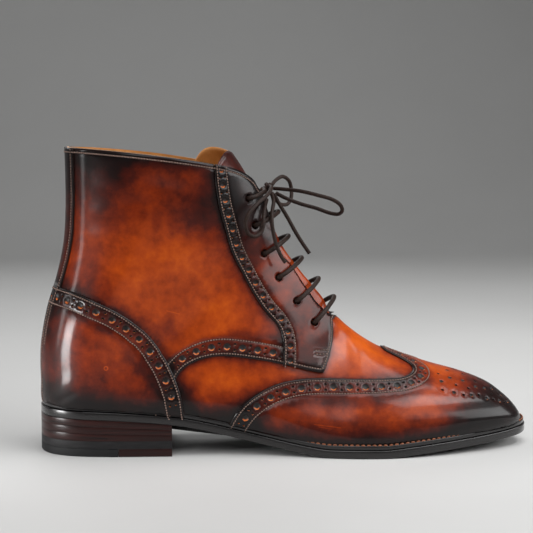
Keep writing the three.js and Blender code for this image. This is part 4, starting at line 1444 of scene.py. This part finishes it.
# A top lace's last points, from beside the knot into it: ahead of, away from and above its middle
INTO_KNOT = [(-2.8, 9.4, -1.6), (-3, 4.6, -0.8), (-1.5, 1.5, 0)]
# A lace's heights over the face on its way up: inside the boot, in the eyelet and at its rim
CLIMB = (-WALL - 1.5, 0.6, LACE_LIFT - 1)
LACE_OVER = LACE_LIFT + 0.5
# Where a bar's points lie between its eyelets, and a top lace's first point outside
BAR_SHARES = np.array((-1, -1, -1, -0.88, -0.6, 0, 0.6, 0.88, 1, 1, 1))
TOP_SHARE = 0.86
STRANDS = {
    # name: far end, then points ahead of, beside and above the knot
    "lace_loop_long": ("object", [
        (3.6, -0.8, -0.2), (10, -5, -0.6), (19, -9.8, -1.5), (30, -14.4, -4), (38.4, -16.1, -6.5),
        (43, -15.8, -9.5), (44.9, -12.4, -13.4), (43, -7.9, -15.9), (38.4, -4.9, -15.5),
        (30, -2.3, -12.6), (20, -0.4, -9.8), (11, 1.2, -6.3), (5, 2.2, -3.2)]),
    "lace_loop_small": ("object", [
        (2.4, 3.4, 1.6), (5.6, 9, 4.6), (10.5, 15, 6.5), (14.7, 19, 3.5), (16.3, 20, -2.2),
        (15.9, 18, -7.2), (13.4, 15, -10.8), (8.2, 10.5, -10.5), (5, 8, -6.6), (2.8, 6, -3.4)]),
    "lace_loop_side": ("object", [
        (1, -4, 1.4), (1.4, -10.5, 0.6), (-1.8, -18.8, -3.4), (-8.6, -26.4, -8.6),
        (-14.1, -30.6, -14.6), (-15.9, -32, -20.6), (-14.4, -31, -25.6), (-10.2, -28.1, -28),
        (-6, -25.2, -25.6), (-4.5, -24.2, -20.6), (-4.2, -22.6, -16.2), (-3.2, -18, -10.8),
        (-1.7, -11.6, -6.6)]),
    "lace_end_short": ("bare", [
        (1.8, -3.8, -3), (2.8, -9, -7.6), (1.6, -15, -13), (1, -19, -18.5), (1.8, -20.5, -26.3),
        (3.8, -21, -34.3), (6.8, -21.5, -41), (9.2, -22, -44.6)]),
    "lace_end_long": ("bare", [
        (3.6, -0.6, -3.6), (6.6, -2, -9.4), (11.6, -4, -17.8), (15.6, -6, -25.2),
        (20, -7, -32.6), (25.2, -8, -40.3)]),
}


def spline(points, step=0.7):
    """A centripetal Catmull-Rom line through points, sampled evenly."""
    p = np.asarray(points, float)
    p = np.concatenate((2 * p[:1] - p[1:2], p, 2 * p[-1:] - p[-2:-1]))
    out = []
    for p0, p1, p2, p3 in zip(p, p[1:], p[2:], p[3:]):
        k = np.sqrt([np.linalg.norm(p1 - p0), np.linalg.norm(p2 - p1), np.linalg.norm(p3 - p2)])
        t = np.linspace(0, 1, 24)[:-1, None]
        m1 = (p2 - p1) + k[1] * ((p1 - p0) / k[0] - (p2 - p0) / (k[0] + k[1]))
        m2 = (p2 - p1) + k[1] * ((p3 - p2) / k[2] - (p3 - p1) / (k[1] + k[2]))
        out.append((2 * t ** 3 - 3 * t ** 2 + 1) * p1 + (t ** 3 - 2 * t ** 2 + t) * m1
                   + (3 * t ** 2 - 2 * t ** 3) * p2 + (t ** 3 - t ** 2) * m2)
    return evenly(np.concatenate(out + [p[-2:-1]]), step)


def tube(path, radius, sides=14, shut=False):
    """Points, quads and (along, round) places of a tube: a circle carried along a path.

    Each ring's frame is the last one turned by as little as the path turns.
    """
    along = unit(np.gradient(path, axis=0))
    if shut:
        along = unit(np.roll(path, -1, 0) - np.roll(path, 1, 0))
    normal = unit(np.cross(along[0], (0.3, 0.2, 1.0)))
    frames = []
    for t in along:
        normal = unit(normal - t * (normal @ t))
        frames.append(normal)
    frames = np.array(frames)
    other = np.cross(along, frames)
    a = np.linspace(0, 2 * np.pi, sides, endpoint=False)[None, :, None]
    size = np.broadcast_to(np.asarray(radius, float).reshape(-1, 1, 1), (len(path), 1, 1))
    ring = path[:, None] + size * (np.cos(a) * frames[:, None] + np.sin(a) * other[:, None])
    n = len(path)
    i = np.arange(n * sides).reshape(n, sides)
    nxt = np.roll(i, -1, 0) if shut else i[1:]
    cur = i if shut else i[:-1]
    quads = np.stack((cur, np.roll(cur, -1, 1), np.roll(nxt, -1, 1), nxt), -1).reshape(-1, 4)
    faces = [tuple(q) for q in quads]
    if not shut:
        faces += [tuple(i[0][::-1]), tuple(i[-1])]
    return ring.reshape(-1, 3), faces


def lace_object(name, path, node, material, diameter=LACE):
    """One run of lace."""
    points, faces = tube(path, diameter / 2)
    obj = mesh_object(name, points, faces, [material])
    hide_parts(*node)
    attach(obj, "root")
    return obj


def free_laces(material):
    """The bow's loops and ends, each a cord that leaves the knot, and the knot.

    The knot's lace runs along a trefoil, whose formula is in its path.
    """
    t = np.linspace(0, 2 * np.pi, 160, endpoint=False)[:, None]
    knot_path = KNOT + KNOT_SCALE * np.column_stack((
        KNOT_DEPTH * np.sin(3 * t), np.sin(t) + 2 * np.sin(2 * t), np.cos(t) - 2 * np.cos(2 * t)))
    points, faces = tube(knot_path, FREE_LACE / 2, shut=True)
    knot = mesh_object("knot_of_lace", points, faces, [material])
    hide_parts("lace_knot")
    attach(knot, "root")
    for name, (far_end, offsets) in STRANDS.items():
        path = spline(np.asarray(offsets, float) + KNOT)
        obj = lace_object("run_" + name, path, [name], material, FREE_LACE)


def bar_path(s, g, swell):
    """A bar across the throat: up through one eyelet, over and down through the other.

    Over the throat it swells by swell (1 - share^2).
    """
    middle = LACE_OVER + swell * (1 - BAR_SHARES[len(CLIMB):-len(CLIMB)] ** 2)
    lift = np.concatenate((CLIMB, middle, CLIMB[::-1]))
    return spline(lifted(np.full(len(lift), float(s)), way_round(s, BAR_SHARES * g), lift))


def fixed_laces(material):
    """Bars through the eyelets and the two runs from the top eyelets to the knot."""
    for i, swell in enumerate(BAR_SWELL):
        s, g = EYELET_ROWS[i]
        lace_object(f"bar_of_lace_{i + 1}", bar_path(s, g, swell), [f"lace_bar_{i + 1}"], material)
    for side, word in ((-1, "lateral"), (1, "medial")):
        s, g = EYELET_ROWS[-1]
        k = way_round(s, side * g)
        points = [lifted(s, k, o) for o in CLIMB]
        points.append(lifted(s, way_round(s, TOP_SHARE * side * g), LACE_OVER))
        points += [KNOT + (x, side * y, z) for x, y, z in INTO_KNOT]
        lace_object("top_lace_" + word, spline(points), ["lace_top_" + word], material)


CAPSULE = np.array([
    # share of the half length, share of the radius, height in radii
    (-1.0, 0.35, -0.9),
    (-0.8, 0.85, -0.25),
    (0.0, 1.0, 0.1),
    (0.8, 0.85, -0.25),
    (1.0, 0.35, -0.9),
])
CAPSULE_SIDES = 6
# Space between stitches and radius of the thread
UPPER_THREAD = (0.4, 0.4)
WELT_THREAD = (1.0, 0.5)


def stitches(name, runs, length, space, radius, material):
    """Thread: one small capsule a stitch, joined from arrays. runs are (points, normals) in space.

    A capsule is five rings round the stitch, narrow at both ends, which dip into the leather.
    """
    t, size, sink = CAPSULE.T * np.array(((1.0,), (radius,), (radius,)))
    turns = np.linspace(0, 2 * np.pi, CAPSULE_SIDES, endpoint=False)
    points, faces, count = [], [], 0
    each = len(CAPSULE) * CAPSULE_SIDES
    i = np.arange(each).reshape(-1, CAPSULE_SIDES)
    quads = np.stack((i[:-1], np.roll(i[:-1], -1, 1), np.roll(i[1:], -1, 1), i[1:]), -1).reshape(-1, 4)
    for line, normal in runs:
        far = np.concatenate(([0], np.cumsum(np.linalg.norm(np.diff(line, axis=0), axis=1))))
        n = int(far[-1] // (length + space))
        if n < 1:
            continue
        start = (np.arange(n) + 0.5) * far[-1] / n

        def at(where, values):
            """The run's values where millimetres along it."""
            return np.stack([np.interp(where, far, values[:, k]) for k in range(3)], 1)

        middle, up = at(start, line), unit(at(start, normal))
        along = unit(at(start + length / 2, line) - at(start - length / 2, line))
        across = np.cross(up, along)
        p = (middle[:, None, None] + (t * length / 2)[None, :, None, None] * along[:, None, None]
             + sink[None, :, None, None] * up[:, None, None]
             + size[None, :, None, None] * (np.cos(turns)[None, None, :, None] * across[:, None, None]
                                            + np.sin(turns)[None, None, :, None] * up[:, None, None]))
        points.append(p.reshape(-1, 3))
        faces.append((quads[None] + count + each * np.arange(n)[:, None, None]).reshape(-1, 4))
        count += each * n
    obj = mesh_object(name, np.concatenate(points), np.concatenate(faces).tolist(), [material])
    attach(obj, "root")
    return obj


def seam_runs():
    """Every kept stitch line as points and normals in space, just over its panel."""
    runs = []
    for line, o in SEAMS:
        fine = folded(evenly(line, 0.8))
        fine = fine[~opened(flat(fine))]
        if len(fine) > 6:
            runs.append((skin_points(fine, np.full(len(fine), o + 0.05)), outward(*fine.T)))
    return runs


WELT_INSET = 0.7
WELT_SEAM = 0.65
WELT_SEAM_LIFT = 0.4


def welt_runs():
    """The welt's own stitch line, all round, WELT_SEAM inside its edge and a little over its top."""
    ring = ring_points(WELT_INSET + WELT_SEAM, count=400)
    ring = np.concatenate((ring, ring[:1]))
    line = np.column_stack((ring, SOLE + rise(ring[:, 0]) + WELT_SEAM_LIFT))
    return [(line, np.tile((0.0, 0.0, 1.0), (len(line), 1)))]


BREAST = -HALF + HEEL_LENGTH
TOP_SPLIT = -HALF + 0.6 * HEEL_LENGTH
WELT_WIDTH = 7.0
# Rounding of the layers' edges
WELT_ROUND = 0.5
SOLE_ROUND = 0.6
LIFT_ROUND = 0.12
TOP_ROUND = 0.3
# How much of the gap a layer's top closes
CLOSING = 0.9


def level(height):
    """A height that is the same all along."""
    return lambda x: np.full(np.shape(x), float(height))


def wedge(share):
    """A height at a share of the way from the heel base up to the outsole."""
    low = TOP_PIECE + GAP + HEEL_BASE + GAP
    return lambda x: low + (rise(x) - GAP - low) * share


def build_soles(settings):
    """Welt, outsole and the heel's layers, each of which runs up to just short of the next."""
    m = finishes(settings)
    shut = CLOSING * GAP
    plate("welt_band", lambda x: rise(x) + OUTSOLE + GAP, lambda x: SOLE + rise(x), [m["edge"]],
          inset=WELT_INSET, round_by=WELT_ROUND, hollow=WELT_WIDTH, node=["welt"])
    plate("outsole_leather", rise, lambda x: rise(x) + OUTSOLE, [m["edge"]], round_by=SOLE_ROUND,
          node=["outsole"])
    for i in range(HEEL_LIFTS):
        low, high = wedge(i / HEEL_LIFTS), wedge((i + 1) / HEEL_LIFTS)
        plate(f"lift_{i + 1}", (lambda x, low=low, i=i: low(x) + (GAP if i else 0)),
              (lambda x, high=high: high(x) + shut), [m["stack"]], x1=BREAST, round_by=LIFT_ROUND,
              node=[f"heel_lift_{i + 1}"])
    base = TOP_PIECE + GAP
    plate("base_board", level(base), level(base + HEEL_BASE + shut), [m["fibre"]], x1=BREAST,
          round_by=LIFT_ROUND, node=["heel_base"])
    plate("rubber_top_piece", level(0), level(TOP_PIECE + shut), [m["rubber"]], x1=TOP_SPLIT - GAP / 2,
          round_by=TOP_ROUND, node=["top_piece_rubber"])
    plate("leather_top_piece", level(0), level(TOP_PIECE + shut), [m["stack"]], x0=TOP_SPLIT + GAP / 2,
          x1=BREAST, round_by=TOP_ROUND, node=["top_piece_leather"])
    bpy.data.objects["insole"].data.materials.clear()
    bpy.data.objects["insole"].data.materials.append(m["lining"])


def build_uppers(settings):
    """Vamp, quarters, wing cap, counter, facings, backstay, lining and tongue."""
    m = finishes(settings)
    SEAMS.clear()
    DISHES.clear()
    skin = [m["calf"], m["cut"], m["lining"]]
    dark = DARKNESS
    panel_object("upper_skin", [(vamp_panel(), dark["vamp"]), (quarter_panel(-1), dark["quarter"]),
                                (quarter_panel(1), dark["quarter"])], skin, ["upper"])
    panel_object("wing_cap_skin", [(wing_panel(), dark["wing"])], skin, ["wing_cap"])
    panel_object("heel_counter_skin", [(counter_panel(), dark["counter"])], skin, ["heel_counter"])
    panel_object("facing_lateral_skin", [(facing_panel(-1), dark["facing"])], skin, ["facing_lateral"])
    panel_object("facing_medial_skin", [(facing_panel(1), dark["facing"])], skin, ["facing_medial"])
    panel_object("backstay_skin", [(backstay_panel(), dark["backstay"])], skin, ["backstay"])
    dish_object(m["punched"])
    lining_object("lining_calf", [m["lining"]])
    tongue_object([m["calf"], m["lining"]])


def build_laces(settings):
    """Loops, ends and knot as cords, and the bars through the eyelets."""
    material = finishes(settings)["lace"]
    free_laces(material)
    fixed_laces(material)


def build_stitches(settings):
    """Upper thread along every kept seam, and the welt's own stitches."""
    m = finishes(settings)
    stitches("upper_stitches", seam_runs(), settings.stitch / MM, *UPPER_THREAD, m["thread"])
    stitches("welt_stitches", welt_runs(), settings.welt_stitch / MM, *WELT_THREAD, m["welt_thread"])


# Camera, lights and floor
CAMERA_TARGET = (-0.01179, 0.0, 0.11194)
CAMERA_AZIMUTH = -4.0
CAMERA_HEIGHT_ANGLE = 5.54
CAMERA_REACH = 0.93674
CAMERA_LENS = 101.3


def build_camera():
    """The photograph's viewpoint."""
    a, e = math.radians(CAMERA_AZIMUTH), math.radians(CAMERA_HEIGHT_ANGLE)
    back = Vector((math.sin(a) * math.cos(e), -math.cos(a) * math.cos(e), math.sin(e)))
    data = bpy.data.cameras.new("camera")
    data.sensor_width = 36
    data.lens = CAMERA_LENS
    data.clip_end = 20
    camera = bpy.data.objects.new("camera", data)
    camera.location = Vector(CAMERA_TARGET) + CAMERA_REACH * back
    camera.rotation_euler = (back).to_track_quat("Z", "Y").to_euler()
    bpy.context.scene.collection.objects.link(camera)
    bpy.context.scene.camera = camera


SURROUND = "#dcdcdc"
SURROUND_STRENGTH = 0.08
LIGHTS = [
    # name, place, aims at, width, height, watts, spread in degrees
    ("overhead", (0.15, -0.1, 1.3), (0.03, 0.0, 0.08), 1.3, 0.6, 2.6, 100),
    ("key_left", (-0.5, -1.45, 1.2), (-0.03, 0.0, 0.1), 1.0, 0.9, 0.85, 50),
    ("key_right", (0.8, -1.2, 1.0), (0.03, 0.0, 0.08), 0.8, 0.8, 0.3, 50),
    ("wing_strip", (0.65, -0.33, 1.05), (0.1, -0.03, 0.06), 1.2, 0.24, 1.9, 90),
    ("right_panel", (1.1, -0.32, 0.55), (0.0, 0.0, 0.12), 1.3, 0.5, 4.6, 120),
    ("left_strip", (-1.3, -0.04, 0.4), (-0.1, 0.0, 0.1), 0.16, 0.9, 0.3, 60),
    ("heel_strip", (-0.41, -0.14, 0.06), (-0.13, -0.02, 0.05), 0.1, 0.11, 0.11, 60),
    ("back_rim", (-0.4, 1.1, 0.9), (-0.05, 0.0, 0.15), 1.0, 0.6, 2.0, 120),
    ("backdrop", (0.0, 0.4, 2.4), (0.0, 1.7, 0.4), 2.5, 0.5, 7.0, 120),
]


# The floor in metres: how far it reaches to the sides and the front, where it turns up behind,
# the turn's radius and the wall's height
FLOOR_REACH = 4.0
FLOOR_BEND = 1.3
BEND_RADIUS = 0.6
WALL_HEIGHT = 3.0


def build_floor(settings):
    """A pale floor that curves up into a backdrop: its profile (y, z) carried along x.

    The profile is flat to y = FLOOR_BEND, a quarter circle of BEND_RADIUS and a wall.
    """
    bend = np.linspace(0, np.pi / 2, 25)
    y = np.concatenate(([-FLOOR_REACH], FLOOR_BEND + BEND_RADIUS * np.sin(bend), [FLOOR_BEND + BEND_RADIUS]))
    z = np.concatenate(([0.0], BEND_RADIUS - BEND_RADIUS * np.cos(bend), [WALL_HEIGHT]))
    n = len(y)
    points = np.concatenate([np.column_stack((np.full(n, x), y, z)) for x in (-FLOOR_REACH, FLOOR_REACH)])
    i = np.arange(n - 1)
    quads = np.stack((i, i + n, i + n + 1, i + 1), 1)
    paint = plain("pale_floor", (settings.floor, "#c6c6c5"), 400.0, (0.6, 0.7), bump=0.0)
    mesh_object("floor", points / MM, quads, [paint])


def build_stage(settings):
    """A pale floor, soft boxes and an even grey surround."""
    build_floor(settings)
    for name, place, aim, width, height, watts, fan in LIGHTS:
        data = bpy.data.lights.new(name, "AREA")
        data.shape = "RECTANGLE"
        data.size, data.size_y, data.energy = width, height, watts * settings.light
        data.spread = math.radians(fan)
        lamp = bpy.data.objects.new(name, data)
        lamp.location = place
        lamp.rotation_euler = (Vector(place) - Vector(aim)).to_track_quat("Z", "Y").to_euler()
        bpy.context.scene.collection.objects.link(lamp)
    bpy.context.scene.view_settings.view_transform = "Standard"
    world = bpy.data.worlds.new("studio")
    bpy.context.scene.world = world
    world.use_nodes = True
    sky = world.node_tree.nodes["Background"].inputs
    sky["Color"].default_value, sky["Strength"].default_value = rgb(SURROUND), SURROUND_STRENGTH


def length_setting(name, description, value, low, high):
    """A length in the settings, given in millimetres and kept in metres."""
    return bpy.props.FloatProperty(name=name, description=description, default=value * MM, min=low * MM,
                                   max=high * MM, subtype="DISTANCE", unit="LENGTH")


def colour_setting(name, description, text):
    """A colour in the settings, from its sRGB hex."""
    return bpy.props.FloatVectorProperty(name=name, description=description, default=rgb(text)[:3],
                                         min=0, max=1, size=3, subtype="COLOR")


class BootSettings(bpy.types.PropertyGroup):
    """Sizes and colours that a user would change."""

    stitch: length_setting("Stitch", "Length of one stitch of the upper", 1.25, 0.8, 4)
    welt_stitch: length_setting("Welt stitch", "Length of one stitch of the welt", 2.4, 1.5, 5)
    hole: length_setting("Hole", "Diameter of the big punched holes", 4.0, 2.5, 5)
    pinhole: length_setting("Pinhole", "Diameter of the small punched holes", 1.4, 0.8, 2)
    tan: colour_setting("Tan", "Calf where it isn't burnished", "#bf520a")
    chestnut: colour_setting("Chestnut", "Calf that is burnished a little", "#a03c07")
    brown: colour_setting("Brown", "Calf that is half burnished", "#752404")
    oxblood: colour_setting("Oxblood", "Calf that is burnished hard", "#431005")
    burnt: colour_setting("Burnt", "Calf near the seams and edges", "#1c0604")
    black: colour_setting("Black", "Calf at the sole and in the seams", "#080202")
    lining: colour_setting("Lining", "Lining, tongue lining and insole", "#b0702f")
    thread: colour_setting("Thread", "Upper thread", "#94796c")
    welt_thread: colour_setting("Welt thread", "Thread on the welt", "#a1603a")
    edge: colour_setting("Sole edge", "Edge ink of welt and outsole", "#0a0808")
    lace: colour_setting("Lace", "Laces", "#33211a")
    floor: colour_setting("Floor", "Floor and backdrop", "#c0c0bf")
    light: bpy.props.FloatProperty(name="Light", description="Share of every lamp's power",
                                   default=1.0, min=0.0, max=4.0, subtype="FACTOR")


class BOOT_OT_laces(bpy.types.Operator):
    """Runs the laces through the eyelets and ties the bow"""

    bl_idname = "boot.laces"
    bl_label = "Laces"

    def execute(self, context):
        build_laces(context.scene.boot)
        return {"FINISHED"}


class BOOT_OT_uppers(bpy.types.Operator):
    """Builds the leather panels, lining and tongue"""

    bl_idname = "boot.uppers"
    bl_label = "Upper"

    def execute(self, context):
        build_uppers(context.scene.boot)
        return {"FINISHED"}


class BOOT_OT_stitches(bpy.types.Operator):
    """Sews the seams"""

    bl_idname = "boot.stitches"
    bl_label = "Stitches"

    def execute(self, context):
        build_stitches(context.scene.boot)
        return {"FINISHED"}


class BOOT_OT_soles(bpy.types.Operator):
    """Builds the welt, outsole and heel"""

    bl_idname = "boot.soles"
    bl_label = "Sole and heel"

    def execute(self, context):
        build_soles(context.scene.boot)
        return {"FINISHED"}


class BOOT_OT_stage(bpy.types.Operator):
    """Sets the camera, lights and floor"""

    bl_idname = "boot.stage"
    bl_label = "Stage"

    def execute(self, context):
        build_camera()
        build_stage(context.scene.boot)
        return {"FINISHED"}


OPERATORS = (BOOT_OT_stage, BOOT_OT_laces, BOOT_OT_uppers, BOOT_OT_stitches, BOOT_OT_soles)


class BOOT_PT_panel(bpy.types.Panel):
    """Lists the boot's pieces"""

    bl_idname = "BOOT_PT_panel"
    bl_label = "Brogue boot"
    bl_space_type = "VIEW_3D"
    bl_region_type = "UI"
    bl_category = "Boot"

    def draw(self, context):
        for name in BootSettings.__annotations__:
            self.layout.prop(context.scene.boot, name)
        for operator in OPERATORS:
            self.layout.operator(operator.bl_idname)


CLASSES = (BootSettings, *OPERATORS, BOOT_PT_panel)


def register():
    """Makes the classes and the scene's settings known."""
    for cls in CLASSES:
        bpy.utils.register_class(cls)
    bpy.types.Scene.boot = bpy.props.PointerProperty(type=BootSettings)


def unregister():
    """Takes them away again."""
    del bpy.types.Scene.boot
    for cls in reversed(CLASSES):
        bpy.utils.unregister_class(cls)


def main():
    """Builds the whole boot."""
    register()
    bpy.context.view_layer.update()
    bpy.ops.boot.stage()
    bpy.ops.boot.laces()
    bpy.ops.boot.uppers()
    bpy.ops.boot.stitches()
    bpy.ops.boot.soles()


if __name__ == "__main__":
    main()
